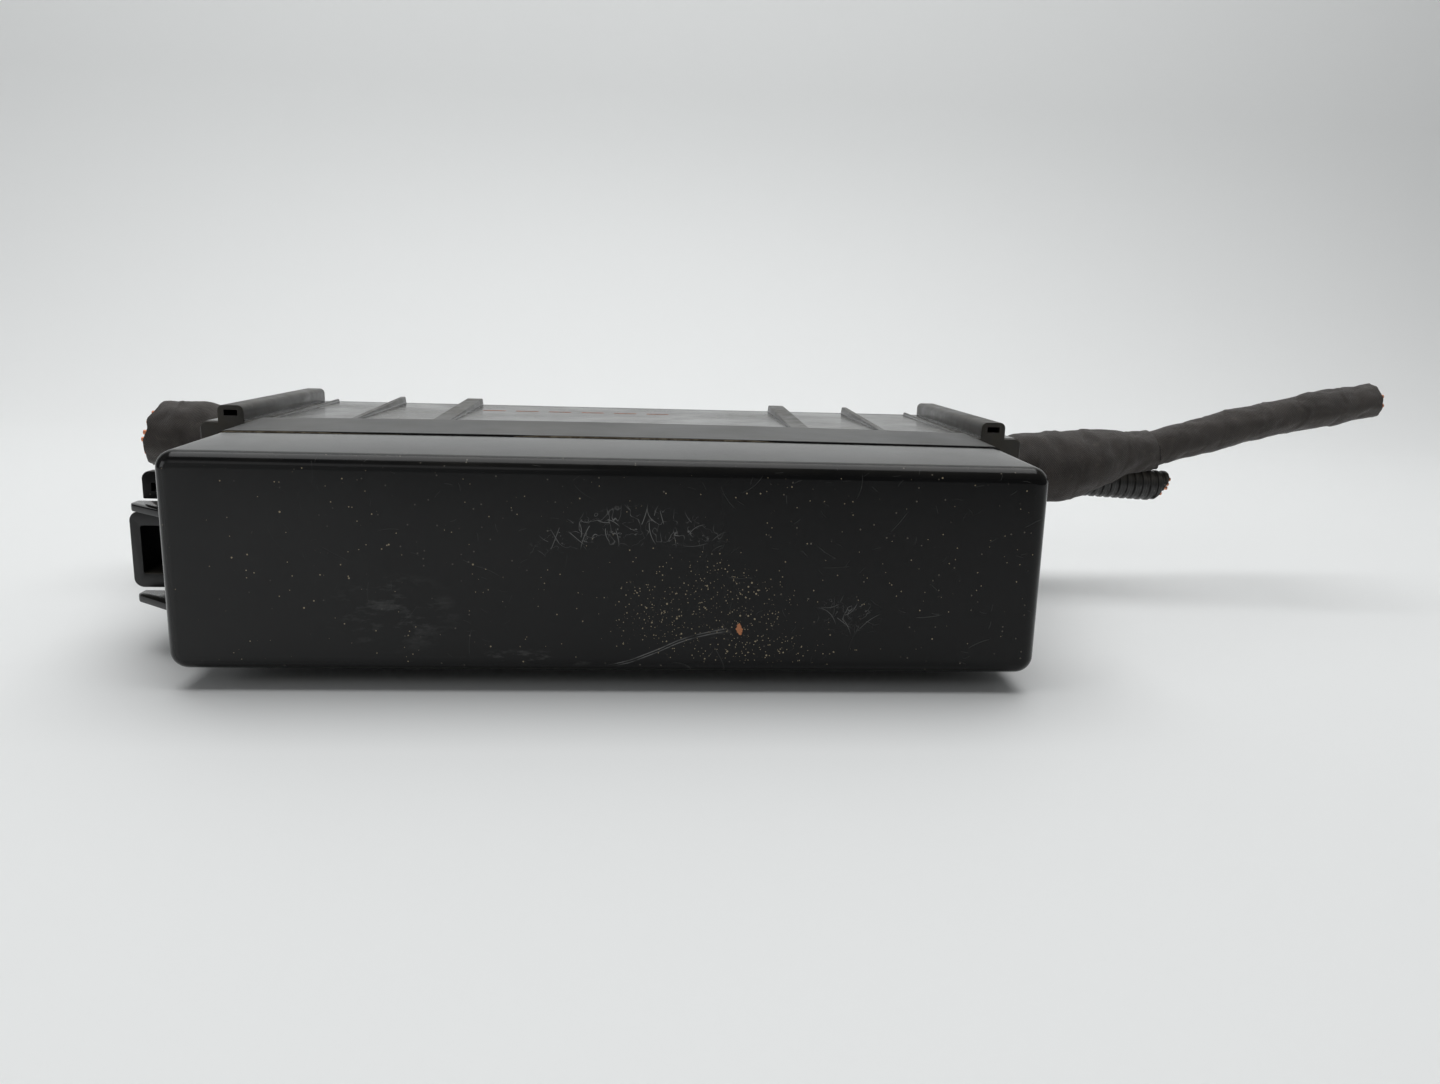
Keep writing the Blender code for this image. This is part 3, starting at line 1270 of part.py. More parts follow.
def build():
    clear_scene()
    cover_black = finish("cover_black", (0.022, 0.023, 0.025), 0.36)
    body_black = finish("body_black", (0.030, 0.030, 0.030), 0.48)
    lever_black = finish("lever_black", (0.024, 0.024, 0.024), 0.50)
    panel_grey = finish("panel_grey", (0.050, 0.052, 0.055), 0.55)
    rubber = finish("soft_rubber", (0.018, 0.018, 0.018), 0.80)
    relay_black = finish("relay_black", (0.020, 0.020, 0.022), 0.42)
    fuse_amber = finish("fuse_amber", (0.700, 0.200, 0.030), 0.25)
    puller_white = finish("puller_white", (0.700, 0.700, 0.660), 0.45)
    steel = finish("zinc_steel", (0.550, 0.550, 0.540), 0.35, 1.0)
    copper = finish("bare_copper", (0.720, 0.300, 0.160), 0.35, 1.0)
    alloy = finish("alloy", (0.600, 0.610, 0.620), 0.40, 1.0)
    laminate = finish("board_green", (0.020, 0.130, 0.060), 0.40)
    epoxy = finish("epoxy_black", (0.018, 0.018, 0.018), 0.45)
    sleeve = finish("capacitor_sleeve", (0.030, 0.040, 0.120), 0.35)
    tape = finish("cloth_tape", (0.045, 0.038, 0.034), 0.85)
    conduit = finish("conduit_black", (0.022, 0.022, 0.022), 0.45)

    pieces = [make_cover(cover_black), make_seal(rubber), make_collar(body_black), make_housing(body_black)]
    pieces += [make_back_cover(body_black), *make_back_screws(steel), make_lever(lever_black)]
    pieces += [make_panel(panel_grey), *make_panel_screws(steel), *make_relays(relay_black)]
    pieces += [*make_fuses(fuse_amber), make_puller(puller_white), make_bus_bar(copper)]
    pieces += [make_board(laminate), *make_board_screws(steel), make_heat_sink(alloy), *make_drivers(epoxy)]
    pieces += [*make_capacitors(sleeve), make_header(epoxy), make_chip(epoxy)]
    for name, side in (("left", -1), ("right", 1)):
        pieces.append(make_inner_plug(f"plug_{name}", side, puller_white))
        pieces.append(make_grommet(f"grommet_{name}", side, rubber))
    pieces += [make_trunk(tape), make_branch(tape), make_conduit(conduit), make_stub(tape)]
    branch_way = Vector(BRANCH_ROUTE[-1]) - Vector(BRANCH_ROUTE[-2])
    conduit_way = CONDUIT_TO - CONDUIT_FROM
    for name, centre, way, radius, slant, count in (
        ("branch", BRANCH_ROUTE[-1], branch_way, BRANCH_CORE_R, 0.0, 6),
        ("conduit", CONDUIT_TO, conduit_way, CONDUIT_CORE_R, CONDUIT_SLANT, 4),
        ("stub", stub_end()[0], -RIGHT, STUB_CORE_R, STUB_END_SLANT, 6),
    ):
        pieces.append(cut_wires(f"{name}_wire_ends", centre, way, radius, slant, count, copper))
    centre_on_footprint(pieces)


build()
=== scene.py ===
# %% [markdown]
# # A trailer brake relay and driver box
#
# The box is a low, wide moulded case: a deep snap cover in front, a narrow collar behind it, and a wider
# body with slide-in rails. Taped wiring leaves both sides and is cut off. The mechanical model is loaded
# first and never moves. Everything after it is about looks: finer shapes, and finishes made of nodes.

# %% Load the frame
import math

import bmesh
import bpy
import numpy as np
from mathutils import Matrix, Vector, noise


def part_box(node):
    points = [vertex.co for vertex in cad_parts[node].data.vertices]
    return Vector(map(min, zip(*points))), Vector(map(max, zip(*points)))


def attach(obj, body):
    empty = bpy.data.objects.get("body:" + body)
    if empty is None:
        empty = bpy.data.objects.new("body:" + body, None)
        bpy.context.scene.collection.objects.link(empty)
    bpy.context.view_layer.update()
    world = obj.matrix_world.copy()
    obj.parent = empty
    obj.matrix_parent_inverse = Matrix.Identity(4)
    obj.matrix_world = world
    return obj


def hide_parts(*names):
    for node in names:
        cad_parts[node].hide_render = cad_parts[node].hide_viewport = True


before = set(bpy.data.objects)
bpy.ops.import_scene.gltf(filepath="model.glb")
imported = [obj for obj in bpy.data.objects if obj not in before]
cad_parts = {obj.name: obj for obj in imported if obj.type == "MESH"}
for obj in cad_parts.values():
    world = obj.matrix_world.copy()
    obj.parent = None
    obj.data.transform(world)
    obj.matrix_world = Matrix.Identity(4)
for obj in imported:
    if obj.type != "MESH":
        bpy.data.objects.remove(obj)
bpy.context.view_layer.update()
scene = bpy.context.scene

# %% [markdown]
# ## Where things are
#
# Every place below is counted from three values that the frame gives: the middle of the unit from side to
# side, the seam between cover and collar, and the middle height. The socket panel is exactly symmetric, so
# its box gives the middle. Names for directions keep the later cells short.

# %% Reference places
panel_low, panel_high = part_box("socket_panel")
cover_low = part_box("cover")[0]
housing_high, back_high, collar_high = (
    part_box(name)[1] for name in ("housing", "back_cover", "collar_frame")
)
MID_X = (panel_low[0] + panel_high[0]) / 2
MID_Z = (panel_low[2] + panel_high[2]) / 2
FRONT_Y = cover_low[1]
COVER_DEPTH = 0.0345
SEAM_Y = FRONT_Y + COVER_DEPTH
COLLAR_BACK = collar_high[1]
SEAM_GAP = 0.0003
BODY_FRONT = COLLAR_BACK + SEAM_GAP
BODY_BACK = housing_high[1]
BODY_HALF_W = back_high[0] - MID_X
BODY_HALF_H = back_high[2] - MID_Z
UP, DOWN = Vector((0, 0, 1)), Vector((0, 0, -1))
BACKWARD, FORWARD = Vector((0, 1, 0)), Vector((0, -1, 0))
RIGHT = Vector((1, 0, 0))


def at(x, y, z):
    """A place given from the middle of the unit, the cover's front plane and the ground."""
    return Vector((MID_X + x, FRONT_Y + y, z))


print("middle", round(MID_X, 5), "seam", round(SEAM_Y, 5), "half width", round(BODY_HALF_W, 5))

# %% [markdown]
# ## Camera
#
# It stands close to the cover and a little above it, turned slightly to the right and not quite level.
# The turn is built from three named angles, so each can be read and changed by itself.

# %% Camera
CAMERA_PLACE = at(0.00655, -0.2311, 0.08477)
CAMERA_DOWN = math.radians(11.793)
CAMERA_TURN = math.radians(4.287)
CAMERA_ROLL = math.radians(1.702)

look = Vector((
    math.sin(CAMERA_TURN) * math.cos(CAMERA_DOWN),
    math.cos(CAMERA_TURN) * math.cos(CAMERA_DOWN),
    -math.sin(CAMERA_DOWN),
))
level = Vector((math.cos(CAMERA_TURN), -math.sin(CAMERA_TURN), 0))
lift = level.cross(look)
cam_right = level * math.cos(CAMERA_ROLL) + lift * math.sin(CAMERA_ROLL)
cam_up = lift * math.cos(CAMERA_ROLL) - level * math.sin(CAMERA_ROLL)
camera = bpy.data.objects.new("camera", bpy.data.cameras.new("camera"))
camera.data.lens = 26.0
camera.data.sensor_width = 36.0
camera.data.clip_start = 0.01
turn = Matrix((cam_right, cam_up, -look)).transposed().to_4x4()
camera.matrix_world = Matrix.Translation(CAMERA_PLACE) @ turn
scene.collection.objects.link(camera)
scene.camera = camera
print("camera at", tuple(round(v, 4) for v in CAMERA_PLACE))

# %% [markdown]
# ## Floor and light
#
# The floor curves up into a pale wall, so the glossy top has something bright to mirror, as it would by a
# painted wall. The light is soft and comes from above and behind, and a weaker one from the left. Little
# comes from the front, so the cover's face stays deep black while its upper edge catches a grey-blue line.

# %% Small tools for meshes
def new_object(name, mesh):
    obj = bpy.data.objects.new(name, mesh)
    scene.collection.objects.link(obj)
    return obj


def from_bmesh(name, bm, material=None, smooth=35):
    mesh = bpy.data.meshes.new(name)
    bm.to_mesh(mesh)
    bm.free()
    mesh.shade_smooth()
    mesh.set_sharp_from_angle(angle=math.radians(smooth))
    if material:
        mesh.materials.append(material)
    return new_object(name, mesh)


def skin(bm, rings, closed=False, capped=True):
    """Joins rings of equal count with quads; ends capped, or joined round."""
    loops = [[bm.verts.new(p) for p in ring] for ring in rings]
    pairs = list(zip(loops, loops[1:]))
    if closed:
        pairs.append((loops[-1], loops[0]))
    elif capped:
        bm.faces.new(loops[0])
        bm.faces.new(loops[-1])
    count = len(loops[0])
    for first, second in pairs:
        for i in range(count):
            j = (i + 1) % count
            bm.faces.new((first[i], first[j], second[j], second[i]))
    return loops


def lofted(name, rings, closed=False):
    """A piece of its own, made of rings, with its faces looking outwards."""
    bm = bmesh.new()
    skin(bm, rings, closed)
    bmesh.ops.recalc_face_normals(bm, faces=bm.faces)
    return from_bmesh(name, bm)


# %% Floor and wall
FLOOR_HALF_WIDTH = 2.2
FLOOR_FRONT = -1.2
WALL_Y = 0.75
WALL_HEIGHT = 1.6
SWEEP = 0.30


def plain(name, colour, roughness):
    material = bpy.data.materials.new(name)
    material.use_nodes = True
    shader = material.node_tree.nodes["Principled BSDF"]
    shader.inputs["Base Color"].default_value = (*colour, 1)
    shader.inputs["Roughness"].default_value = roughness
    return material


bm = bmesh.new()
profile = [(FLOOR_FRONT, 0.0), (WALL_Y - SWEEP, 0.0)]
for k in range(1, 13):
    angle = math.pi / 2 * k / 12
    profile.append((WALL_Y - SWEEP + SWEEP * math.sin(angle), SWEEP * (1 - math.cos(angle))))
profile.append((WALL_Y, WALL_HEIGHT))
edges = [[bm.verts.new((x, y, z)) for y, z in profile] for x in (-FLOOR_HALF_WIDTH, FLOOR_HALF_WIDTH)]
for k in range(len(profile) - 1):
    bm.faces.new((edges[0][k], edges[1][k], edges[1][k + 1], edges[0][k + 1]))
floor = from_bmesh("floor", bm, plain("pale_floor", (0.86, 0.865, 0.86), 0.6), smooth=60)
print("floor and wall ready")


# %% Lights
def soft_light(name, place, target, size, power, colour=(1, 1, 1)):
    data = bpy.data.lights.new(name, "AREA")
    data.shape = "RECTANGLE"
    data.size, data.size_y = size
    data.energy = power
    data.color = colour
    lamp = bpy.data.objects.new(name, data)
    lamp.location = place
    way = Vector(target) - Vector(place)
    lamp.rotation_euler = way.to_track_quat("-Z", "Y").to_euler()
    scene.collection.objects.link(lamp)
    return lamp


soft_light("ceiling", (0.0, 0.15, 1.25), (0.0, 0.10, 0.0), (1.6, 1.1), 15.0, (0.985, 0.995, 1.0))
soft_light("left", (-1.1, -0.55, 0.35), (0.0, 0.0, 0.03), (0.5, 0.5), 1.5, (0.97, 0.99, 1.0))
soft_light("front", (-0.5, -1.3, 0.9), (0.0, 0.0, 0.03), (0.8, 0.4), 0.7)
world = bpy.data.worlds.new("room")
world.use_nodes = True
world.node_tree.nodes["Background"].inputs["Color"].default_value = (0.95, 0.98, 1.0, 1)
world.node_tree.nodes["Background"].inputs["Strength"].default_value = 0.12
scene.world = world
scene.view_settings.view_transform = "Standard"

# %% [markdown]
# ## Effects that several finishes share
#
# Dust, scratches, edge wear, moulded grain and tape weave are each one node group, built once. A group
# gives only masks, colours or heights. The shader itself stays in each material, so every finish can use
# the same dust with its own strength.

# %% Node tools
def group(name, inputs, outputs):
    """A node group with named sockets: inputs are (name, value), outputs are (name, kind)."""
    tree = bpy.data.node_groups.new(name, "ShaderNodeTree")
    for label, value in inputs:
        kind = "NodeSocketVector" if value is None else "NodeSocketFloat"
        socket = tree.interface.new_socket(label, in_out="INPUT", socket_type=kind)
        if value is not None:
            socket.default_value = value
    for label, kind in outputs:
        tree.interface.new_socket(label, in_out="OUTPUT", socket_type=f"NodeSocket{kind}")
    return tree, tree.nodes.new("NodeGroupInput"), tree.nodes.new("NodeGroupOutput")


def node(tree, kind, settings=None, **inputs):
    """One node, with its settings and its inputs; an input may be a value or another node's socket."""
    made = tree.nodes.new(f"ShaderNode{kind}")
    for key, value in (settings or {}).items():
        setattr(made, key, value)
    for key, value in inputs.items():
        socket = made.inputs[int(key[1:])] if key[1:].isdigit() else made.inputs[key.replace("_", " ")]
        if isinstance(value, bpy.types.NodeSocket):
            tree.links.new(value, socket)
        else:
            socket.default_value = value
    return made


def maths(tree, operation, a, b=0.0, clamp=False):
    return node(tree, "Math", {"operation": operation, "use_clamp": clamp}, i0=a, i1=b).outputs[0]


def ramp(tree, value, low, high):
    """0 below low, 1 above high, straight between."""
    return node(tree, "MapRange", {"clamp": True}, Value=value, From_Min=low, From_Max=high).outputs[0]


def noise_at(tree, vector, scale, detail=4.0, rough=0.55, stretch=None, kind="FBM"):
    if stretch:
        vector = node(tree, "Mapping", Vector=vector, Scale=stretch).outputs[0]
    settings = {"noise_type": kind}
    return node(
        tree, "TexNoise", settings, Vector=vector, Scale=scale, Detail=detail, Roughness=rough
    ).outputs[0]


# %% Dust
def make_dust():
    """Fine specks, and a film that settles on faces that look up."""
    tree, given, out = group(
        "dust", [("Vector", None), ("Film", 0.3), ("Specks", 0.5), ("Scale", 1.0)], [("Mask", "Float")]
    )
    spot = node(tree, "VectorMath", {"operation": "SCALE"}, i0=given.outputs["Vector"])
    tree.links.new(given.outputs["Scale"], spot.inputs["Scale"])
    place = spot.outputs[0]
    upward = node(tree, "SeparateXYZ", Vector=node(tree, "NewGeometry").outputs["Normal"]).outputs["Z"]
    facing_up = ramp(tree, upward, 0.2, 0.95)
    patches = ramp(tree, noise_at(tree, place, 45.0, 6.0, 0.65), 0.35, 0.75)
    film = maths(tree, "MULTIPLY", maths(tree, "MULTIPLY", facing_up, patches), given.outputs["Film"])
    cells = node(tree, "TexVoronoi", {"feature": "F1"}, Vector=place, Scale=620.0, Randomness=1.0)
    near = maths(tree, "SUBTRACT", 1.0, ramp(tree, cells.outputs["Distance"], 0.06, 0.16))
    lot = node(tree, "SeparateXYZ", Vector=cells.outputs["Color"]).outputs["X"]
    where = ramp(tree, noise_at(tree, place, 22.0, 3.0), 0.45, 0.75)
    keep = maths(tree, "GREATER_THAN", maths(tree, "ADD", lot, maths(tree, "MULTIPLY", where, 0.35)), 0.93)
    specks = maths(tree, "MULTIPLY", maths(tree, "MULTIPLY", near, keep), given.outputs["Specks"])
    total = maths(tree, "ADD", film, specks, clamp=True)
    tree.links.new(total, out.inputs["Mask"])
    return tree


DUST = make_dust()


# %% Scratches
def stroke_layer(tree, x, z, size, length, width, share):
    """One short bent stroke in some cells of a flat grid: size in cells per metre, the rest in cells."""
    flat = node(tree, "CombineXYZ", X=x, Y=z).outputs[0]
    cells = node(tree, "TexVoronoi", {"voronoi_dimensions": "2D"}, Vector=flat, Scale=size)
    scaled = node(tree, "VectorMath", {"operation": "SCALE"}, i0=flat, Scale=size).outputs[0]
    middle = node(
        tree, "VectorMath", {"operation": "SCALE"}, i0=cells.outputs["Position"], Scale=size
    ).outputs[0]
    away = node(
        tree, "SeparateXYZ",
        Vector=node(tree, "VectorMath", {"operation": "SUBTRACT"}, i0=scaled, i1=middle).outputs[0],
    )
    lot = node(tree, "SeparateXYZ", Vector=cells.outputs["Color"])
    angle = maths(tree, "MULTIPLY", lot.outputs["X"], math.pi)
    cosine, sine = maths(tree, "COSINE", angle), maths(tree, "SINE", angle)
    ax, az = away.outputs["X"], away.outputs["Y"]
    along = maths(tree, "ADD", maths(tree, "MULTIPLY", ax, cosine), maths(tree, "MULTIPLY", az, sine))
    across = maths(tree, "SUBTRACT", maths(tree, "MULTIPLY", az, cosine), maths(tree, "MULTIPLY", ax, sine))
    bend = maths(tree, "MULTIPLY", maths(tree, "SUBTRACT", lot.outputs["Y"], 0.5), 1.6)
    across = maths(
        tree, "ADD", across, maths(tree, "MULTIPLY", maths(tree, "MULTIPLY", along, along), bend)
    )
    thin = maths(tree, "SUBTRACT", 1.0, ramp(tree, maths(tree, "ABSOLUTE", across), width * 0.35, width))
    short = maths(tree, "SUBTRACT", 1.0, ramp(tree, maths(tree, "ABSOLUTE", along), length * 0.7, length))
    kept = maths(tree, "LESS_THAN", lot.outputs["Z"], share)
    return maths(tree, "MULTIPLY", maths(tree, "MULTIPLY", thin, short), kept)


def make_scratches():
    """Scattered hair strokes on every face: the two axes along the face carry them."""
    tree, given, out = group("scratches", [("Vector", None), ("Amount", 0.5)], [("Mask", "Float")])
    parts = node(tree, "SeparateXYZ", Vector=given.outputs["Vector"])
    depth = maths(tree, "ADD", parts.outputs["Z"], parts.outputs["Y"])
    lines = None
    for size, length, width, share in ((90.0, 0.30, 0.010, 0.30), (260.0, 0.28, 0.020, 0.22)):
        layer = stroke_layer(tree, parts.outputs["X"], depth, size, length, width, share)
        lines = layer if lines is None else maths(tree, "MAXIMUM", lines, layer)
    patch = ramp(tree, noise_at(tree, given.outputs["Vector"], 22.0, 3.0), 0.42, 0.62)
    total = maths(
        tree, "MULTIPLY", maths(tree, "MULTIPLY", lines, patch), given.outputs["Amount"], clamp=True
    )
    tree.links.new(total, out.inputs["Mask"])
    return tree


SCRATCHES = make_scratches()


# %% Moulded grain and worn edges
def make_grain():
    """The fine pebble of a moulded surface, and a slow waviness that bends reflections."""
    tree, given, out = group(
        "moulded_grain", [("Vector", None), ("Fine", 0.5), ("Slow", 0.5)], [("Height", "Float")]
    )
    fine = noise_at(tree, given.outputs["Vector"], 2600.0, 2.0)
    slow = noise_at(tree, given.outputs["Vector"], 30.0, 2.0)
    fine = maths(tree, "MULTIPLY", fine, given.outputs["Fine"])
    slow = maths(tree, "MULTIPLY", slow, given.outputs["Slow"])
    tree.links.new(maths(tree, "ADD", fine, slow), out.inputs["Height"])
    return tree


def make_wear():
    """Where corners are rubbed: a bevelled normal differs from the true one at an edge."""
    tree, given, out = group(
        "edge_wear", [("Vector", None), ("Width", 0.0006), ("Amount", 0.5)], [("Mask", "Float")]
    )
    round_off = node(tree, "Bevel", {"samples": 4})
    tree.links.new(given.outputs["Width"], round_off.inputs["Radius"])
    true = node(tree, "NewGeometry").outputs["Normal"]
    same = node(
        tree, "VectorMath", {"operation": "DOT_PRODUCT"}, i0=round_off.outputs[0], i1=true
    ).outputs["Value"]
    edge = ramp(tree, maths(tree, "SUBTRACT", 1.0, same), 0.01, 0.12)
    broken = ramp(tree, noise_at(tree, given.outputs["Vector"], 380.0, 4.0, 0.7), 0.42, 0.60)
    total = maths(
        tree, "MULTIPLY", maths(tree, "MULTIPLY", edge, broken), given.outputs["Amount"], clamp=True
    )
    tree.links.new(total, out.inputs["Mask"])
    return tree


GRAIN = make_grain()
WEAR = make_wear()


# %% Put a group in a material
def use(tree, made, **inputs):
    placed = tree.nodes.new("ShaderNodeGroup")
    placed.node_tree = made
    for key, value in inputs.items():
        if isinstance(value, bpy.types.NodeSocket):
            tree.links.new(value, placed.inputs[key])
        else:
            placed.inputs[key].default_value = value
    return placed.outputs[0]


def mix(tree, mask, a, b):
    """Colour a where the mask is 0, b where it is 1."""
    made = node(tree, "Mix", {"data_type": "RGBA"})
    tree.links.new(mask, made.inputs["Factor"])
    for socket, value in ((made.inputs[6], a), (made.inputs[7], b)):
        if isinstance(value, bpy.types.NodeSocket):
            tree.links.new(value, socket)
        else:
            socket.default_value = (*value, 1.0)
    return made.outputs[2]


print("node groups", [g.name for g in bpy.data.node_groups])

# %% [markdown]
# ## The finishes
#
# Most of the unit is black plastic, so what tells one piece from another is gloss and dirt. One recipe
# makes every moulded plastic: a base colour with a slow change of tone, a film of dust, specks, hair
# scratches, rubbed corners and a fine grain. Each piece only gives its own amounts.

# %% Starting and joining up a finish
def begin(name):
    """A new finish: its material, node tree, shader and texture coordinates."""
    material = bpy.data.materials.new(name)
    material.use_nodes = True
    tree = material.node_tree
    return material, tree, tree.nodes["Principled BSDF"], node(tree, "TexCoord")


def join_up(tree, shader, base, rough, height, strength, distance):
    """Links colour, roughness and bump; a roughness that is one number sits on the shader's own socket."""
    tree.links.new(base, shader.inputs["Base Color"])
    if isinstance(rough, bpy.types.NodeSocket):
        tree.links.new(rough, shader.inputs["Roughness"])
    else:
        shader.inputs["Roughness"].default_value = rough
    bump = node(tree, "Bump", Strength=strength, Distance=distance, Height=height)
    tree.links.new(bump.outputs[0], shader.inputs["Normal"])


# %% Moulded plastics
DUST_COLOUR = (0.30, 0.27, 0.22)
RUBBED_COLOUR = (0.16, 0.16, 0.16)


def moulded(
    name, colour, roughness, film=0.3, specks=0.3, scratches=0.3, wear=0.3, grain=0.3, slow=0.3, shine=0.5
):
    """One moulded plastic; shine is the same everywhere, so it sits on the shader's own socket."""
    material, tree, shader, coords = begin(name)
    shader.inputs["Specular IOR Level"].default_value = shine
    place = coords.outputs["Object"]
    tone = ramp(tree, noise_at(tree, place, 28.0, 3.0), 0.3, 0.7)
    base = mix(tree, tone, tuple(c * 0.82 for c in colour), tuple(c * 1.18 for c in colour))
    dust = use(tree, DUST, Vector=place, Film=film, Specks=specks)
    lines = use(tree, SCRATCHES, Vector=place, Amount=scratches)
    rubbed = use(tree, WEAR, Vector=place, Amount=wear)
    base = mix(tree, rubbed, base, RUBBED_COLOUR)
    base = mix(tree, maths(tree, "MULTIPLY", lines, 0.5), base, (0.22, 0.22, 0.21))
    base = mix(tree, dust, base, DUST_COLOUR)
    rough = maths(tree, "ADD", roughness - 0.04, maths(tree, "MULTIPLY", tone, 0.08))
    rough = maths(tree, "ADD", rough, maths(tree, "MULTIPLY", dust, 0.5))
    rough = maths(tree, "ADD", rough, maths(tree, "MULTIPLY", lines, 0.2), clamp=True)
    height = use(tree, GRAIN, Vector=place, Fine=grain, Slow=slow)
    height = maths(tree, "SUBTRACT", height, maths(tree, "MULTIPLY", lines, 0.3))
    join_up(tree, shader, base, rough, height, 0.35, 0.00025)
    return material


COVER_BLACK = moulded(
    "cover_black", (0.0050, 0.0050, 0.0051), 0.13, 0.08, 0.45, 0.5, 0.0, 0.015, 0.30, 0.22
)
COLLAR_BLACK = moulded(
    "collar_black", (0.0070, 0.0070, 0.0070), 0.30, 0.12, 0.5, 0.4, 0.06, 0.05, 0.35, 0.16
)
BODY_BLACK = moulded("body_black", (0.012, 0.012, 0.012), 0.20, 0.22, 0.5, 0.3, 0.10, 0.05, 0.6)
LEVER_BLACK = moulded("lever_black", (0.011, 0.011, 0.011), 0.34, 0.6, 0.4, 0.2, 0.20, 0.3, 0.3)
PANEL_GREY = moulded("panel_grey", (0.048, 0.050, 0.054), 0.50, 0.15, 0.05, 0.1, 0.2, 0.6, 0.2)
RELAY_BLACK = moulded("relay_black", (0.020, 0.020, 0.022), 0.38, 0.1, 0.05, 0.2, 0.2, 0.5, 0.2)
EPOXY_BLACK = moulded("epoxy_black", (0.018, 0.018, 0.018), 0.45, 0.1, 0.0, 0.0, 0.1, 0.8, 0.2)
RUBBER = moulded("soft_rubber", (0.017, 0.017, 0.017), 0.72, 0.5, 0.3, 0.0, 0.1, 0.9, 0.5)
PULLER_WHITE = moulded("puller_white", (0.62, 0.61, 0.56), 0.42, 0.1, 0.1, 0.1, 0.0, 0.5, 0.3)
CONDUIT_BLACK = moulded("conduit_black", (0.020, 0.019, 0.018), 0.40, 0.6, 0.4, 0.2, 0.2, 0.4, 0.3)
print("plastics ready")

# %% [markdown]
# ## Dirt on the body
#
# Brown dirt has gathered on the rails and ribs and on the body's faces that look forward. It could be
# painted on by hand, but a mask worked out from height and from the way a face looks follows any change of
# shape. It is laid over the body's own plastic.

# %% Dirt round the rails
def add_rail_dirt(material, level):
    """Brown dirt on whatever stands above the plates, and on the body's faces that look forward."""
    tree = material.node_tree
    shader = tree.nodes["Principled BSDF"]
    place = node(tree, "TexCoord").outputs["Object"]
    height = maths(
        tree, "ABSOLUTE",
        maths(tree, "SUBTRACT", node(tree, "SeparateXYZ", Vector=place).outputs["Z"], MID_Z),
    )
    raised = ramp(tree, height, level + 0.0001, level + 0.0008)
    way = node(tree, "SeparateXYZ", Vector=node(tree, "NewGeometry").outputs["Normal"])
    ahead = ramp(tree, maths(tree, "MULTIPLY", way.outputs["Y"], -1.0), 0.5, 0.8)
    where = maths(tree, "MAXIMUM", maths(tree, "MULTIPLY", raised, 0.55), ahead)
    patchy = ramp(tree, noise_at(tree, place, 160.0, 6.0, 0.7), 0.30, 0.66)
    mask = maths(
        tree, "MULTIPLY", where, maths(tree, "ADD", 0.35, maths(tree, "MULTIPLY", patchy, 0.65)),
        clamp=True,
    )
    base = mix(tree, mask, shader.inputs["Base Color"].links[0].from_socket, (0.040, 0.034, 0.024))
    tree.links.new(base, shader.inputs["Base Color"])
    rough = maths(
        tree, "ADD", shader.inputs["Roughness"].links[0].from_socket, maths(tree, "MULTIPLY", mask, 0.5),
        clamp=True,
    )
    tree.links.new(rough, shader.inputs["Roughness"])


add_rail_dirt(BODY_BLACK, BODY_HALF_H)
print("rail dirt ready")

# %% [markdown]
# ## The cover's face
#
# The face is the part that people see, and it has been handled: curly hair scratches near the top, greyish
# smears at the lower left, a long double scuff that climbs from the bottom edge, and a spatter of pale
# specks at the lower right. A torn flake and a pebble stand out in orange. A painted sheen lightens the
# face towards the left, standing in for the light from the left. Each mark is a mask with its own place on
# the face, laid over the cover's own plastic.

# %% Marks and painted sheen on the cover's face
COVER_HALF_W = 0.1003


def oval(tree, x, z, middle, half):
    """1 at the middle of an oval on the face, falling to 0 at its edge; sizes in metres."""
    a = maths(tree, "DIVIDE", maths(tree, "SUBTRACT", x, MID_X + middle[0]), half[0])
    b = maths(tree, "DIVIDE", maths(tree, "SUBTRACT", z, middle[1]), half[1])
    away = maths(tree, "ADD", maths(tree, "MULTIPLY", a, a), maths(tree, "MULTIPLY", b, b))
    return maths(tree, "SUBTRACT", 1.0, ramp(tree, away, 0.15, 1.0))


def thin_line(tree, value, width):
    """1 where a value passes through a half, within width."""
    off = maths(tree, "ABSOLUTE", maths(tree, "SUBTRACT", value, 0.5))
    return maths(tree, "SUBTRACT", 1.0, ramp(tree, off, width * 0.3, width))


def both(tree, *masks):
    total = masks[0]
    for mask in masks[1:]:
        total = maths(tree, "MULTIPLY", total, mask)
    return total


def either(tree, *masks):
    total = masks[0]
    for mask in masks[1:]:
        total = maths(tree, "MAXIMUM", total, mask)
    return total


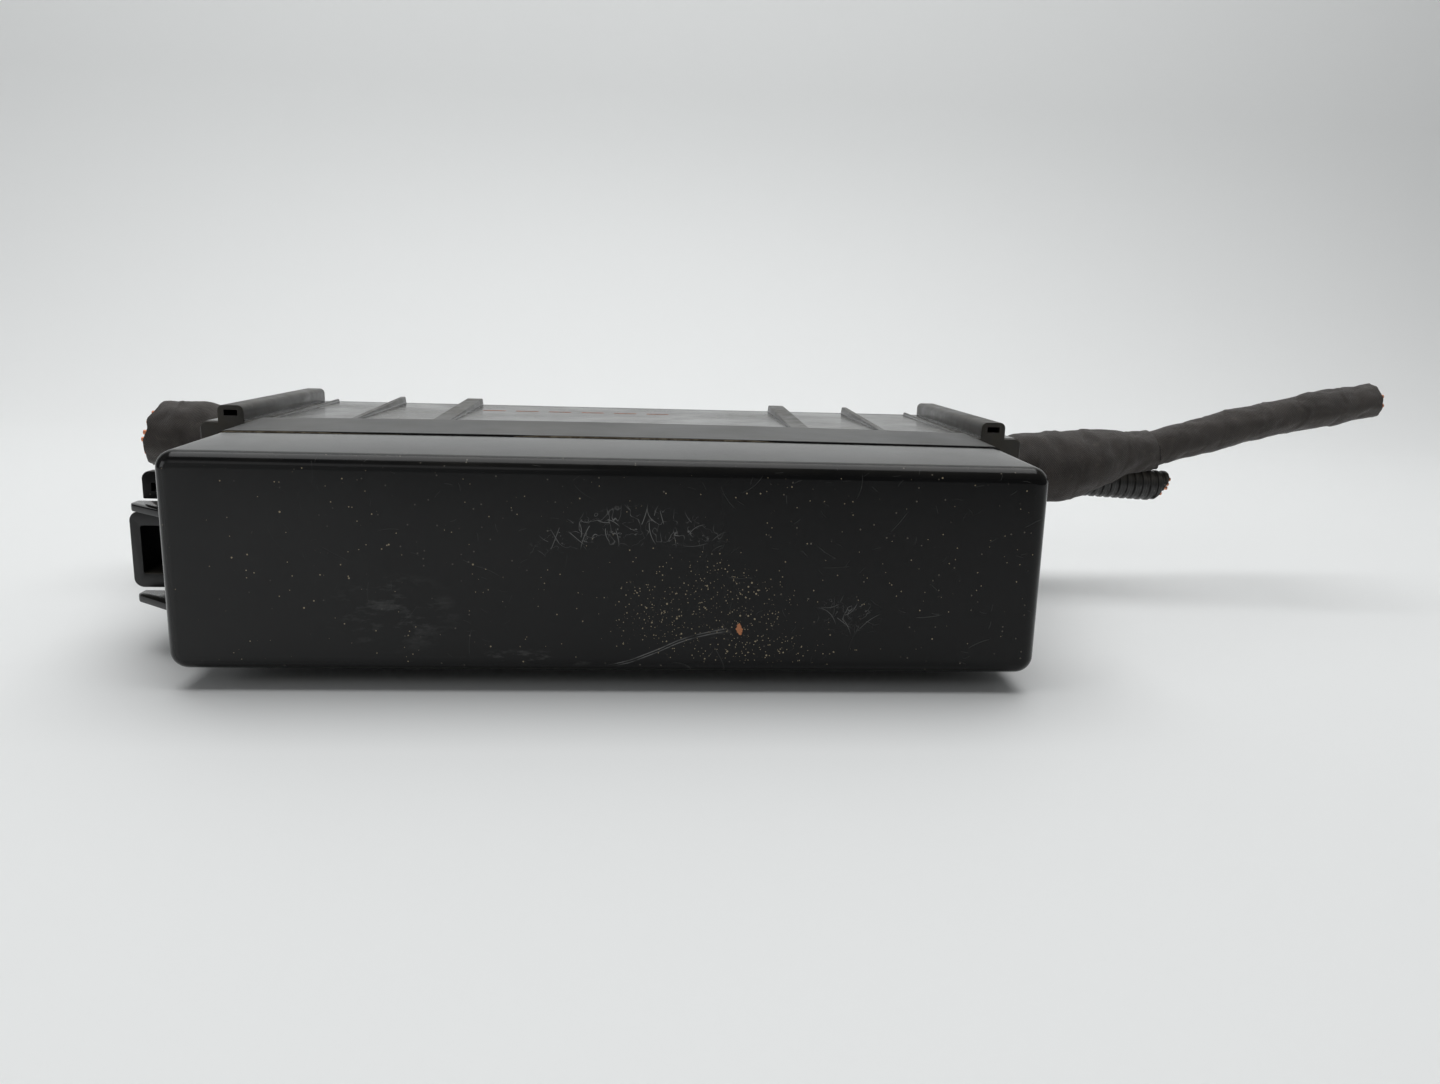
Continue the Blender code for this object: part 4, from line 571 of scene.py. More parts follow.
def make_face_marks_and_sheen():
    """Four masks on the cover's front: grey marks, pale specks, painted sheen, and the flake and pebble."""
    outputs = [("Marks", "Float"), ("Specks", "Float"), ("PaintedSheen", "Float"), ("Flake", "Float")]
    tree, given, out = group("face_marks", [("Vector", None)], outputs)
    place = given.outputs["Vector"]
    parts = node(tree, "SeparateXYZ", Vector=place)
    x, z = parts.outputs["X"], parts.outputs["Z"]
    normal = node(tree, "SeparateXYZ", Vector=node(tree, "NewGeometry").outputs["Normal"])
    front = ramp(tree, maths(tree, "MULTIPLY", normal.outputs["Y"], -1.0), 0.85, 0.98)

    curls = None
    for size, detail, width, stretch in (
        (140.0, 2.5, 0.0065, (1.0, 1.0, 1.0)),
        (210.0, 3.0, 0.0060, (0.8, 1.0, 1.4)),
        (95.0, 3.0, 0.0045, (1.2, 1.0, 0.7)),
    ):
        layer = thin_line(tree, noise_at(tree, place, size, detail, 0.6, stretch), width)
        layer = both(tree, layer, ramp(tree, noise_at(tree, place, size * 1.7, 2.0), 0.44, 0.60))
        curls = layer if curls is None else either(tree, curls, layer)
    hairs = either(
        tree,
        stroke_layer(tree, x, z, 150.0, 0.55, 0.016, 0.85),
        stroke_layer(tree, z, x, 210.0, 0.50, 0.020, 0.70),
    )
    arch = maths(
        tree, "MULTIPLY", maths(tree, "POWER", maths(tree, "SUBTRACT", x, MID_X + 0.006), 2.0), 10.0
    )
    arched = maths(tree, "ADD", z, arch)
    cluster = both(
        tree, either(tree, curls, hairs), oval(tree, x, arched, (0.004, 0.0400), (0.025, 0.0050))
    )
    hook = both(tree, either(tree, curls, hairs), oval(tree, x, z, (0.0545, 0.0195), (0.0085, 0.0050)))
    strokes = noise_at(tree, place, 330.0, 5.0, 0.7, (0.35, 1.0, 1.0))
    strokes = ramp(tree, strokes, 0.50, 0.72)
    smear = both(tree, strokes, oval(tree, x, z, (-0.050, 0.0190), (0.016, 0.0100)))
    low_smear = both(tree, strokes, oval(tree, x, z, (-0.020, 0.0072), (0.016, 0.0038)))
    edge_rub = both(tree, strokes, oval(tree, x, z, (0.020, 0.0050), (0.034, 0.0016)))

    rise = node(
        tree, "MapRange", {"interpolation_type": "SMOOTHSTEP"}, Value=x, From_Min=MID_X - 0.008,
        From_Max=MID_X + 0.028, To_Min=0.0055, To_Max=0.0155,
    ).outputs[0]
    wander = maths(tree, "MULTIPLY", maths(tree, "SUBTRACT", noise_at(tree, place, 60.0, 2.0), 0.5), 0.0012)
    off_line = maths(tree, "ABSOLUTE", maths(tree, "SUBTRACT", maths(tree, "ADD", z, wander), rise))
    twin = maths(tree, "ABSOLUTE", maths(tree, "SUBTRACT", off_line, 0.00030))
    scuff = maths(tree, "SUBTRACT", 1.0, ramp(tree, twin, 0.00004, 0.00020))
    past_end = maths(tree, "SUBTRACT", 1.0, ramp(tree, x, MID_X + 0.0240, MID_X + 0.0262))
    reach = both(tree, ramp(tree, x, MID_X - 0.010, MID_X + 0.002), past_end)
    grainy = ramp(tree, noise_at(tree, place, 420.0, 3.0, 0.6, (0.35, 1.0, 1.0)), 0.36, 0.58)
    scuff = both(tree, scuff, reach, grainy)
    blob = both(tree, strokes, oval(tree, x, z, (0.0245, 0.0145), (0.0030, 0.0018)))
    marks = either(
        tree,
        maths(tree, "MULTIPLY", cluster, 0.95),
        maths(tree, "MULTIPLY", hook, 0.65),
        maths(tree, "MULTIPLY", smear, 0.30),
        maths(tree, "MULTIPLY", low_smear, 0.60),
        maths(tree, "MULTIPLY", edge_rub, 0.75),
        maths(tree, "MULTIPLY", scuff, 0.80),
        maths(tree, "MULTIPLY", blob, 0.70),
    )

    specks = None
    for size, gain in ((620.0, 0.06), (1150.0, 0.11), (1900.0, 0.20)):
        cells = node(tree, "TexVoronoi", {"feature": "F1"}, Vector=place, Scale=size)
        drawn = node(tree, "SeparateXYZ", Vector=cells.outputs["Color"])
        reach = maths(tree, "ADD", 0.08, maths(tree, "MULTIPLY", drawn.outputs["Z"], 0.22))
        dot = ramp(tree, maths(tree, "SUBTRACT", reach, cells.outputs["Distance"]), 0.0, 0.06)
        lot = drawn.outputs["Y"]
        crowd = oval(tree, x, z, (0.021, 0.0200), (0.024, 0.0150))
        lower = oval(tree, x, z, (0.036, 0.0095), (0.016, 0.0060))
        crowd = maths(tree, "ADD", crowd, lower, clamp=True)
        kept = maths(
            tree, "GREATER_THAN", maths(tree, "ADD", lot, maths(tree, "MULTIPLY", crowd, gain)), 0.992
        )
        layer = both(tree, dot, kept)
        specks = layer if specks is None else either(tree, specks, layer)
    tree.links.new(maths(tree, "MULTIPLY", marks, front), out.inputs["Marks"])
    tree.links.new(maths(tree, "MULTIPLY", specks, front), out.inputs["Specks"])
    # Painted sheen: strongest at the left end of the face, gone by 30 mm right of the middle, broken up by
    # noise; it stands in for light from the left.
    left = maths(tree, "SUBTRACT", 1.0, ramp(tree, x, MID_X - COVER_HALF_W, MID_X + 0.030))
    cloudy = maths(tree, "ADD", 0.6, maths(tree, "MULTIPLY", noise_at(tree, place, 35.0, 4.0), 0.8))
    tree.links.new(both(tree, left, cloudy, front), out.inputs["PaintedSheen"])
    torn = maths(tree, "ADD", x, maths(tree, "MULTIPLY", noise_at(tree, place, 900.0, 2.0), 0.0016))
    flake = ramp(tree, oval(tree, torn, z, (0.0298, 0.0158), (0.0007, 0.0016)), 0.15, 0.30)
    pebble = ramp(tree, oval(tree, x, z, (0.0633, 0.0052), (0.0007, 0.0007)), 0.15, 0.30)
    tree.links.new(both(tree, either(tree, flake, pebble), front), out.inputs["Flake"])
    return tree


def add_face_marks_and_sheen(material):
    """Lays the marks and the painted sheen over a finished plastic."""
    tree = material.node_tree
    shader = tree.nodes["Principled BSDF"]
    placed = tree.nodes.new("ShaderNodeGroup")
    placed.node_tree = make_face_marks_and_sheen()
    tree.links.new(node(tree, "TexCoord").outputs["Object"], placed.inputs["Vector"])
    marks, specks, painted_sheen, flake = placed.outputs
    base = shader.inputs["Base Color"].links[0].from_socket
    # Painted sheen: a lighter grey on the left of the face, standing in for the light from the left.
    base = mix(tree, painted_sheen, base, (0.022, 0.022, 0.022))
    base = mix(tree, marks, base, (0.20, 0.20, 0.195))
    base = mix(tree, specks, base, (0.36, 0.30, 0.20))
    base = mix(tree, flake, base, (0.55, 0.22, 0.10))
    tree.links.new(base, shader.inputs["Base Color"])
    rough = shader.inputs["Roughness"].links[0].from_socket
    rough = maths(tree, "ADD", rough, maths(tree, "MULTIPLY", marks, 0.35), clamp=True)
    tree.links.new(rough, shader.inputs["Roughness"])


add_face_marks_and_sheen(COVER_BLACK)
print("face marks ready")

# %% [markdown]
# ## Metals, cloth tape and the rest
#
# Zinc plated screws have a cloudy, slightly brushed skin. Freshly cut copper is bright and pink, and dulls
# in spots. Cloth tape is woven, fuzzy and almost without shine, and road dust sits in its folds.

# %% Metals
def metal(name, colour, tarnish, roughness):
    material, tree, shader, coords = begin(name)
    place = coords.outputs["Object"]
    cloud = ramp(tree, noise_at(tree, place, 420.0, 5.0, 0.6), 0.38, 0.68)
    base = mix(tree, cloud, colour, tarnish)
    rough = maths(tree, "ADD", roughness, maths(tree, "MULTIPLY", cloud, 0.22), clamp=True)
    shader.inputs["Metallic"].default_value = 1.0
    height = use(tree, GRAIN, Vector=place, Fine=0.4, Slow=0.1)
    join_up(tree, shader, base, rough, height, 0.2, 0.0002)
    return material


STEEL = metal("zinc_steel", (0.62, 0.62, 0.60), (0.42, 0.42, 0.40), 0.28)
COPPER = metal("bare_copper", (0.80, 0.34, 0.20), (0.45, 0.18, 0.10), 0.30)
ALLOY = metal("alloy", (0.62, 0.63, 0.64), (0.50, 0.51, 0.53), 0.34)
TINNED = metal("tinned_blade", (0.66, 0.65, 0.62), (0.50, 0.49, 0.46), 0.30)


# %% Cloth tape
def make_weave():
    """Crossed threads on a surface's own map, whose numbers are millimetres."""
    tree, given, out = group("weave", [("Vector", None), ("Threads", 2.6)], [("Height", "Float")])
    parts = node(tree, "SeparateXYZ", Vector=given.outputs["Vector"])
    waves = []
    for axis in ("X", "Y"):
        turned = maths(tree, "MULTIPLY", parts.outputs[axis], given.outputs["Threads"])
        waves.append(maths(tree, "SINE", maths(tree, "MULTIPLY", turned, 2 * math.pi)))
    product = maths(tree, "MULTIPLY", waves[0], waves[1])
    tree.links.new(maths(tree, "ADD", maths(tree, "MULTIPLY", product, 0.5), 0.5), out.inputs["Height"])
    return tree


WEAVE = make_weave()


def cloth_tape(name, colour):
    material, tree, shader, coords = begin(name)
    place = coords.outputs["Object"]
    weave = use(tree, WEAVE, Vector=coords.outputs["UV"], Threads=1.3)
    tone = ramp(tree, noise_at(tree, place, 120.0, 4.0, 0.6), 0.30, 0.72)
    base = mix(tree, tone, tuple(c * 0.72 for c in colour), tuple(c * 1.25 for c in colour))
    base = mix(tree, maths(tree, "MULTIPLY", weave, 0.22), base, (0.012, 0.010, 0.009))
    dusty = maths(tree, "MULTIPLY", ramp(tree, noise_at(tree, place, 300.0, 5.0, 0.7), 0.55, 0.80), 0.35)
    base = mix(tree, dusty, base, (0.150, 0.125, 0.105))
    shader.inputs["Sheen Weight"].default_value = 0.25
    shader.inputs["Sheen Roughness"].default_value = 0.5
    fuzz = noise_at(tree, place, 1500.0, 3.0, 0.7)
    height = maths(tree, "ADD", maths(tree, "MULTIPLY", weave, 0.6), fuzz)
    join_up(tree, shader, base, 0.88, height, 0.55, 0.0004)
    return material


TAPE = cloth_tape("cloth_tape", (0.046, 0.038, 0.033))


# %% Board, fuse, sleeve and painted marks
def patterned(name, colour, second, scale, roughness, kind="FBM", low=0.4, high=0.6, **settings):
    """A simple finish: two tones in a noise pattern, with a fine grain."""
    material, tree, shader, coords = begin(name)
    place = coords.outputs["Object"]
    tone = ramp(tree, noise_at(tree, place, scale, 4.0, kind=kind), low, high)
    base = mix(tree, tone, colour, second)
    rough = maths(tree, "ADD", roughness, maths(tree, "MULTIPLY", tone, 0.1), clamp=True)
    for key, value in settings.items():
        shader.inputs[key.replace("_", " ")].default_value = value
    height = use(tree, GRAIN, Vector=place, Fine=0.4, Slow=0.3)
    join_up(tree, shader, base, rough, height, 0.25, 0.0002)
    return material


BOARD_GREEN = patterned("board_green", (0.014, 0.115, 0.050), (0.020, 0.160, 0.072), 350.0, 0.32)
FUSE_AMBER = patterned(
    "fuse_amber", (0.62, 0.16, 0.02), (0.72, 0.24, 0.04), 200.0, 0.18, Transmission_Weight=0.35
)
SLEEVE_BLUE = patterned("capacitor_sleeve", (0.020, 0.030, 0.100), (0.030, 0.045, 0.140), 300.0, 0.30)
INSULATION = patterned("wire_insulation", (0.020, 0.020, 0.020), (0.035, 0.033, 0.030), 500.0, 0.45)
MARK_PAINT = patterned(
    "mark_paint", (0.33, 0.10, 0.045), (0.11, 0.075, 0.055), 900.0, 0.6, low=0.45, high=0.62
)
DIRT = patterned("settled_dirt", (0.30, 0.25, 0.17), (0.13, 0.10, 0.07), 600.0, 0.95)
print("finishes", len(bpy.data.materials))

# %% [markdown]
# ## Outlines and lofts
#
# The cover, the collar and the body are all the same kind of shape: a rounded rectangle carried backwards.
# One function draws that rectangle, with real arcs in its corners and long sides that bow out a little.
# Both mouldings are drafted, so each ring is a little larger than the one in front of it.

# %% The shared outline
CORNER_STEPS = 10
BOW_STEPS = 28
COVER_HALF_H = 0.0249
COVER_CORNER = 0.0042
DRAFT = 0.020
CROWN_RATE = 0.0125


def rounded(half_w, half_h, radius, crown=0.0):
    points = []
    for quarter, (sx, sz) in enumerate(((1, 1), (-1, 1), (-1, -1), (1, -1))):
        for k in range(CORNER_STEPS + 1):
            a = math.pi / 2 * (quarter + k / CORNER_STEPS)
            x = sx * (half_w - radius) + radius * math.cos(a)
            points.append((x, sz * (half_h - radius) + radius * math.sin(a)))
        if quarter in (0, 2):
            flat = half_w - radius
            points += [(sz * flat * (1 - 2 * k / BOW_STEPS), sz * half_h) for k in range(1, BOW_STEPS)]
    return [(x, z + math.copysign(crown, z) * (1 - (x / half_w) ** 2)) for x, z in points]


def ring(half_w, half_h, radius, y, crown=0.0):
    return [Vector((MID_X + x, y, MID_Z + z)) for x, z in rounded(half_w, half_h, radius, crown)]


def outer_ring(y, inset=0.0, corner=COVER_CORNER):
    """A ring on the drafted outside that cover and collar share, moved in by inset."""
    back = y - FRONT_Y
    half_w = COVER_HALF_W + DRAFT * back - inset
    half_h = COVER_HALF_H + DRAFT * back - inset
    return ring(half_w, half_h, max(corner - inset, 0.0006), y, CROWN_RATE * back)


SEAM_HALF_W = COVER_HALF_W + DRAFT * (SEAM_Y - FRONT_Y)
SEAM_HALF_H = COVER_HALF_H + DRAFT * (SEAM_Y - FRONT_Y)


# %% Prisms with softened edges, and joining by Boolean
def soft_prism(name, outline, start, end, along, soften=0.0003, segments=2):
    """An outline pushed along an axis, with every sharp edge rounded a little. World places."""
    place = {"x": lambda p, s: (s, *p), "y": lambda p, s: (p[0], s, p[1]), "z": lambda p, s: (*p, s)}[along]
    bm = bmesh.new()
    skin(bm, [[place(p, s) for p in outline] for s in (start, end)])
    bmesh.ops.recalc_face_normals(bm, faces=bm.faces)
    if soften:
        sharp = [e for e in bm.edges if e.calc_face_angle(0) > math.radians(30)]
        bmesh.ops.bevel(
            bm, geom=sharp, offset=soften, segments=segments, affect="EDGES", profile=0.6, clamp_overlap=True
        )
    return from_bmesh(name, bm)


def block(name, low, high, soften=0.0003, segments=2):
    outline = [(low[0], low[1]), (high[0], low[1]), (high[0], high[1]), (low[0], high[1])]
    return soft_prism(name, outline, low[2], high[2], "z", soften, segments)


def pin(name, base, axis, radius, length, sides=32, soften=0.0002):
    """A round pin with a softened rim."""
    axis = Vector(axis).normalized()
    side = axis.orthogonal().normalized()
    other = axis.cross(side)
    rings = []
    for r, s in (
        (radius - soften, 0), (radius, soften), (radius, length - soften), (radius - soften, length)
    ):
        angles = [2 * math.pi * k / sides for k in range(sides)]
        rings.append(
            [Vector(base) + axis * s + (side * math.cos(a) + other * math.sin(a)) * r for a in angles]
        )
    return lofted(name, rings)


def baked(obj):
    """Turns an object's modifiers into plain mesh."""
    graph = bpy.context.evaluated_depsgraph_get()
    graph.update()
    mesh = bpy.data.meshes.new_from_object(obj.evaluated_get(graph))
    obj.modifiers.clear()
    old, obj.data = obj.data, mesh
    bpy.data.meshes.remove(old)
    return obj


def combine(target, tools, operation="UNION"):
    """Joins pieces to a target, or cuts them out of it, and removes them."""
    for tool in tools:
        modifier = target.modifiers.new("join", "BOOLEAN")
        modifier.operation = operation
        modifier.object = tool
        modifier.solver = "EXACT"
        baked(target)
        bpy.data.objects.remove(tool)
    target.data.shade_smooth()
    target.data.set_sharp_from_angle(angle=math.radians(32))
    return target


def arc_points(centre, radius, start, end, steps=8):
    angles = [math.radians(start + (end - start) * k / steps) for k in range(steps + 1)]
    return [(centre[0] + radius * math.cos(a), centre[1] + radius * math.sin(a)) for a in angles]


def dress(obj, body, material, slot, *nodes):
    """Gives a finished piece its material and body, and hides the nodes that it stands for; slot is not
    used.
    """
    if material:
        obj.data.materials.clear()
        obj.data.materials.append(material)
    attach(obj, body)
    if nodes:
        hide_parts(*nodes)
    print(obj.name, len(obj.data.polygons), "faces on", body)
    return obj


# %% [markdown]
# ## The snap cover
#
# A deep moulded cap. Its front edge has a full fillet, which catches the light as one grey line, so the
# fillet gets ten steps. The fins, the catch tongue and the hinge tabs are softened prisms joined to it, so
# they grow out of the wall as in a real moulding instead of passing through it.

# %% Cover shell
COVER_WALL = 0.0022
COVER_FILLET = 0.0036
FILLET_STEPS = 10
cover_seam = SEAM_Y - SEAM_GAP / 2


def make_cover():
    inner_front = FRONT_Y + COVER_WALL
    inner_fillet = COVER_FILLET - COVER_WALL
    rings = [
        outer_ring(inner_front, COVER_WALL + inner_fillet),
        outer_ring(inner_front + inner_fillet, COVER_WALL),
        outer_ring(cover_seam, COVER_WALL),
        outer_ring(cover_seam, 0.0006),
        outer_ring(cover_seam - 0.0006),
    ]
    for k in range(FILLET_STEPS + 1):
        angle = math.pi / 2 * k / FILLET_STEPS
        y = FRONT_Y + COVER_FILLET * (1 - math.sin(angle))
        rings.append(outer_ring(y, COVER_FILLET * (1 - math.cos(angle))))
    return lofted("snap_cover", rings)


# %% What grows out of the cover
lever_low_corner, lever_high_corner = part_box("latch_lever")
LEVER_HALF = 0.00975
LEVER_MID_Z = (lever_low_corner[2] + lever_high_corner[2]) / 2
FIN_GAP = 0.0008
FIN_THICK = 0.0019
FIN_OUT = 0.0185
FIN_CORNER = 0.0030
LEFT_WALL = MID_X - SEAM_HALF_W
RIGHT_WALL = MID_X + SEAM_HALF_W
HINGE_X = RIGHT_WALL + 0.0030
HINGE_Y = SEAM_Y + 0.0022
HINGE_PIN_R = 0.0014
HINGE_TAB = 0.0070
HINGE_EAR = 0.0018
HINGE_HEIGHTS = (MID_Z - 0.0125, MID_Z + 0.0125)


def cover_fin(z):
    wall = LEFT_WALL + COVER_WALL / 2
    tip = LEFT_WALL - FIN_OUT
    outline = [(wall, FRONT_Y + 0.0145), (wall, cover_seam), (tip, cover_seam)]
    outline += arc_points((tip + FIN_CORNER, cover_seam - FIN_CORNER), FIN_CORNER, 180, 235)
    return soft_prism("fin", outline, z - FIN_THICK / 2, z + FIN_THICK / 2, "z", 0.0004)


def cover_tongue():
    wall = LEFT_WALL + COVER_WALL / 2
    inner = LEFT_WALL - 0.0055
    outer = inner - 0.0020
    tip = SEAM_Y + 0.0180
    outline = [
        (wall, SEAM_Y - 0.0100), (outer, SEAM_Y - 0.0100), (outer, tip - 0.0040),
        (outer - 0.0015, tip - 0.0040), (outer, tip), (inner, tip), (inner, cover_seam), (wall, cover_seam),
    ]
    half = LEVER_HALF - 0.0036 - 0.0009
    return soft_prism("tongue", outline, LEVER_MID_Z - half, LEVER_MID_Z + half, "z")


def hinge_tab(z):
    wall = RIGHT_WALL - COVER_WALL / 2
    reach = HINGE_PIN_R + 0.0003
    root = cover_seam - 0.0050
    outline = [(wall, root), (HINGE_X + reach, root)]
    outline += arc_points((HINGE_X, HINGE_Y), reach, 0, 180, 12)
    outline += [(HINGE_X - reach, cover_seam), (wall, cover_seam)]
    tab = soft_prism("tab", outline, z - HINGE_TAB / 2, z + HINGE_TAB / 2, "z")
    reach_z = HINGE_EAR + SEAM_GAP
    axle = pin(
        "axle", (HINGE_X, HINGE_Y, z - HINGE_TAB / 2 - reach_z), UP, HINGE_PIN_R, HINGE_TAB + 2 * reach_z
    )
    return combine(tab, [axle])


cover = make_cover()
fin_offset = LEVER_HALF + FIN_GAP + FIN_THICK / 2
grown = [cover_fin(LEVER_MID_Z + side * fin_offset) for side in (-1, 1)] + [cover_tongue()]
grown += [hinge_tab(z) for z in HINGE_HEIGHTS]
combine(cover, grown)
dress(cover, "cover", COVER_BLACK, "cover_black", "cover")

# %% [markdown]
# ## The collar
#
# A frame whose section is carried round: outside, flange and lip. Its crown continues the cover's, but it
# stands 0.35 mm proud, so its front edge shows as a dark line behind the cover. On the left it has a small
# drilled ear for a seal wire, and on the right the eyes of the cover's hinge.

# %% Collar
COLLAR_WALL = 0.0023
FLANGE = 0.0020
LIP_INSET = COVER_WALL + 0.0003 + 0.0008 + 0.0003
LIP_WALL = 0.0016
LIP_LENGTH = 0.0050
PANEL_SCREW_Z = 0.0150
COLLAR_PROUD = 0.00035
collar_seam = SEAM_Y + SEAM_GAP / 2


def collar_frame_mesh():
    inner_w, inner_h = SEAM_HALF_W - COLLAR_WALL, SEAM_HALF_H - COLLAR_WALL
    lip_w, lip_h = SEAM_HALF_W - LIP_INSET, SEAM_HALF_H - LIP_INSET
    flange_back = collar_seam + FLANGE
    lip_front = collar_seam - LIP_LENGTH
    rings = [
        outer_ring(collar_seam, 0.0001 - COLLAR_PROUD),
        outer_ring(collar_seam + 0.0001, -COLLAR_PROUD),
        outer_ring(COLLAR_BACK - 0.0004, -COLLAR_PROUD),
        outer_ring(COLLAR_BACK, 0.0004 - COLLAR_PROUD),
        ring(inner_w, inner_h, 0.0015, COLLAR_BACK),
        ring(inner_w, inner_h, 0.0015, flange_back),
        ring(lip_w - LIP_WALL, lip_h - LIP_WALL, 0.0012, flange_back),
        ring(lip_w - LIP_WALL, lip_h - LIP_WALL, 0.0012, lip_front),
        ring(lip_w - 0.0003, lip_h - 0.0003, 0.0012, lip_front),
        ring(lip_w, lip_h, 0.0012, lip_front + 0.0003),
        ring(lip_w, lip_h, 0.0012, collar_seam),
    ]
    bm = bmesh.new()
    skin(bm, rings, closed=True)
    bmesh.ops.recalc_face_normals(bm, faces=bm.faces)
    return from_bmesh("collar", bm)


def seal_ear():
    low = LEVER_MID_Z + LEVER_HALF + FIN_GAP + FIN_THICK + SEAM_GAP
    high = low + 0.0070
    outer = LEFT_WALL - 0.0175
    outline = [(LEFT_WALL + COLLAR_WALL / 2, low), (LEFT_WALL + COLLAR_WALL / 2, high)]
    outline += arc_points((outer + 0.0020, high - 0.0020), 0.0020, 90, 180)
    outline += [(outer, low)]
    front = collar_seam + SEAM_GAP
    ear = soft_prism("ear", outline, front, front + 0.0030, "y")
    x, z, half = outer + 0.0033, low + 0.0030, 0.0011
    hole = block("hole", (x - half, front - 0.001, z - half), (x + half, front + 0.004, z + half), 0.0)
    return combine(ear, [hole], "DIFFERENCE")


def hinge_eye(z):
    inner = RIGHT_WALL - COLLAR_WALL / 2
    hole_r = HINGE_PIN_R + 0.0003
    reach = hole_r + 0.0013
    outline = [(inner, collar_seam + SEAM_GAP), (HINGE_X, HINGE_Y - reach + 0.0006)]
    outline += arc_points((HINGE_X, HINGE_Y), reach, -60, 90, 14)
    outline += [(inner, HINGE_Y + reach + 0.0025)]
    eye = soft_prism("eye", outline, z, z + HINGE_EAR, "z", 0.0002)
    return combine(
        eye, [pin("hole", (HINGE_X, HINGE_Y, z - 0.001), UP, hole_r, HINGE_EAR + 0.002, soften=0.0)],
        "DIFFERENCE",
    )


def make_collar():
    collar = collar_frame_mesh()
    grown = [seal_ear()]
    for z in HINGE_HEIGHTS:
        grown += [
            hinge_eye(z - HINGE_TAB / 2 - SEAM_GAP - HINGE_EAR), hinge_eye(z + HINGE_TAB / 2 + SEAM_GAP)
        ]
    combine(collar, grown)
    inner = SEAM_HALF_W - COLLAR_WALL / 2
    for screw_name, side in (("panel_screw_left", -1), ("panel_screw_right", 1)):
        low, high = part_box(screw_name)
        x = (low[0] + high[0]) / 2
        xs = sorted((x - side * 0.0045, MID_X + side * inner))
        foot_low = (xs[0], collar_seam, PANEL_SCREW_Z - 0.0045)
        foot_high = (xs[1], collar_seam + FLANGE, PANEL_SCREW_Z + 0.0045)
        foot = block("foot", foot_low, foot_high)
        combine(collar, [foot])
        combine(
            collar,
            [pin("way", (x, collar_seam - 0.001, PANEL_SCREW_Z), BACKWARD, 0.0018, 0.004, soften=0.0)],
            "DIFFERENCE",
        )
    return collar


dress(make_collar(), "base", COLLAR_BLACK, "body_black", "collar_frame")

# %% [markdown]
# ## The body
#
# The body is a second, wider box behind the collar, with the same crisp moulding. It carries two rails on
# its top and two below, which slide into a bracket, and shallow ribs between them, which slope down to the
# plate towards the front. It is built as the real tool would form it: a box, everything that stands on it,
# then everything that is cut out of it.

# %% Sizes of the body
BODY_CORNER = 0.0022
BODY_WALL = 0.0025
RAIL_X = BODY_HALF_W - 0.0085
RAIL_HALF = 0.0035
RAIL_HEIGHT = housing_high[2] - back_high[2]
RAIL_ROUND = 0.0016
RIB_FOOT = 0.0012
RIB_TOP_FROM = 0.0004
RIB_FRONT_END = 0.00225
RIB_FRONT_HEIGHT = 0.0013
RIBS = ((0.0990, 0.0016, 0.0010), (0.0770, 0.0025, 0.0023), (0.0525, 0.0060, 0.0023))
WIRE_Y = FRONT_Y + 0.1105
WIRE_Z = 0.0415
BUNDLE_R = 0.0078
SCREW_R = 0.0015
PIVOT = Vector((LEFT_WALL - 0.0160, BODY_FRONT - 0.0038, LEVER_MID_Z))
PIVOT_PIN_R = 0.0015
BOSS_R = 0.0034
PILOT_R = 0.0018
LUG = 0.0031
BOARD_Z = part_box("circuit_board")[0][2]


def centre_of(name):
    low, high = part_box(name)
    return (low + high) / 2


# %% Rails, ribs and lugs
def rail(side, face):
    x, base, top = side * RAIL_X, BODY_HALF_H - RIB_FOOT, BODY_HALF_H + RAIL_HEIGHT
    outline = [(x - RAIL_HALF, base)]
    outline += arc_points((x - RAIL_HALF + RAIL_ROUND, top - RAIL_ROUND), RAIL_ROUND, 180, 90, 5)
    outline += arc_points((x + RAIL_HALF - RAIL_ROUND, top - RAIL_ROUND), RAIL_ROUND, 90, 0, 5)
    outline += [(x + RAIL_HALF, base)]
    placed = [(MID_X + px, MID_Z + face * pz) for px, pz in outline]
    return soft_prism("rail", placed, BODY_FRONT, BODY_BACK, "y", 0.0002)


def rib(x, width, height, face):
    base, top, half = BODY_HALF_H - RIB_FOOT, BODY_HALF_H + height, width / 2
    lean = min(0.0004, half / 2)
    outline = [(x - half, base), (x - half + lean, top), (x + half - lean, top), (x + half, base)]
    placed = [(MID_X + px, MID_Z + face * pz) for px, pz in outline]
    made = soft_prism("rib", placed, BODY_FRONT + 0.0006, BODY_BACK - 0.0004, "y", 0.0003)
    for vertex in made.data.vertices:
        above = face * (vertex.co.z - MID_Z) - base
        if above > RIB_TOP_FROM and vertex.co.y < BODY_FRONT + RIB_FRONT_END:
            vertex.co.z -= face * (above - RIB_FRONT_HEIGHT)
    return made


def lever_lug(low):
    reach = PIVOT_PIN_R + 0.0003 + 0.0014
    root = BODY_FRONT + 0.0005
    outline = [(PIVOT.x + 0.0080, root), (PIVOT.x + 0.0080, PIVOT.y - reach)]
    outline += arc_points((PIVOT.x, PIVOT.y), reach, 270, 180, 12)
    outline += [(PIVOT.x - reach, PIVOT.y + PIVOT_PIN_R), (MID_X - BODY_HALF_W + 0.0004, root)]
    lug = soft_prism("lug", outline, low, low + LUG, "z")
    hole = pin("hole", (PIVOT.x, PIVOT.y, low - 0.001), UP, PIVOT_PIN_R + 0.0003, LUG + 0.002, soften=0.0)
    return combine(lug, [hole], "DIFFERENCE")


# %% Housing
def edged_ring(y, inset, corner=BODY_CORNER):
    return ring(BODY_HALF_W - inset, BODY_HALF_H - inset, max(corner - inset, 0.0008), y)


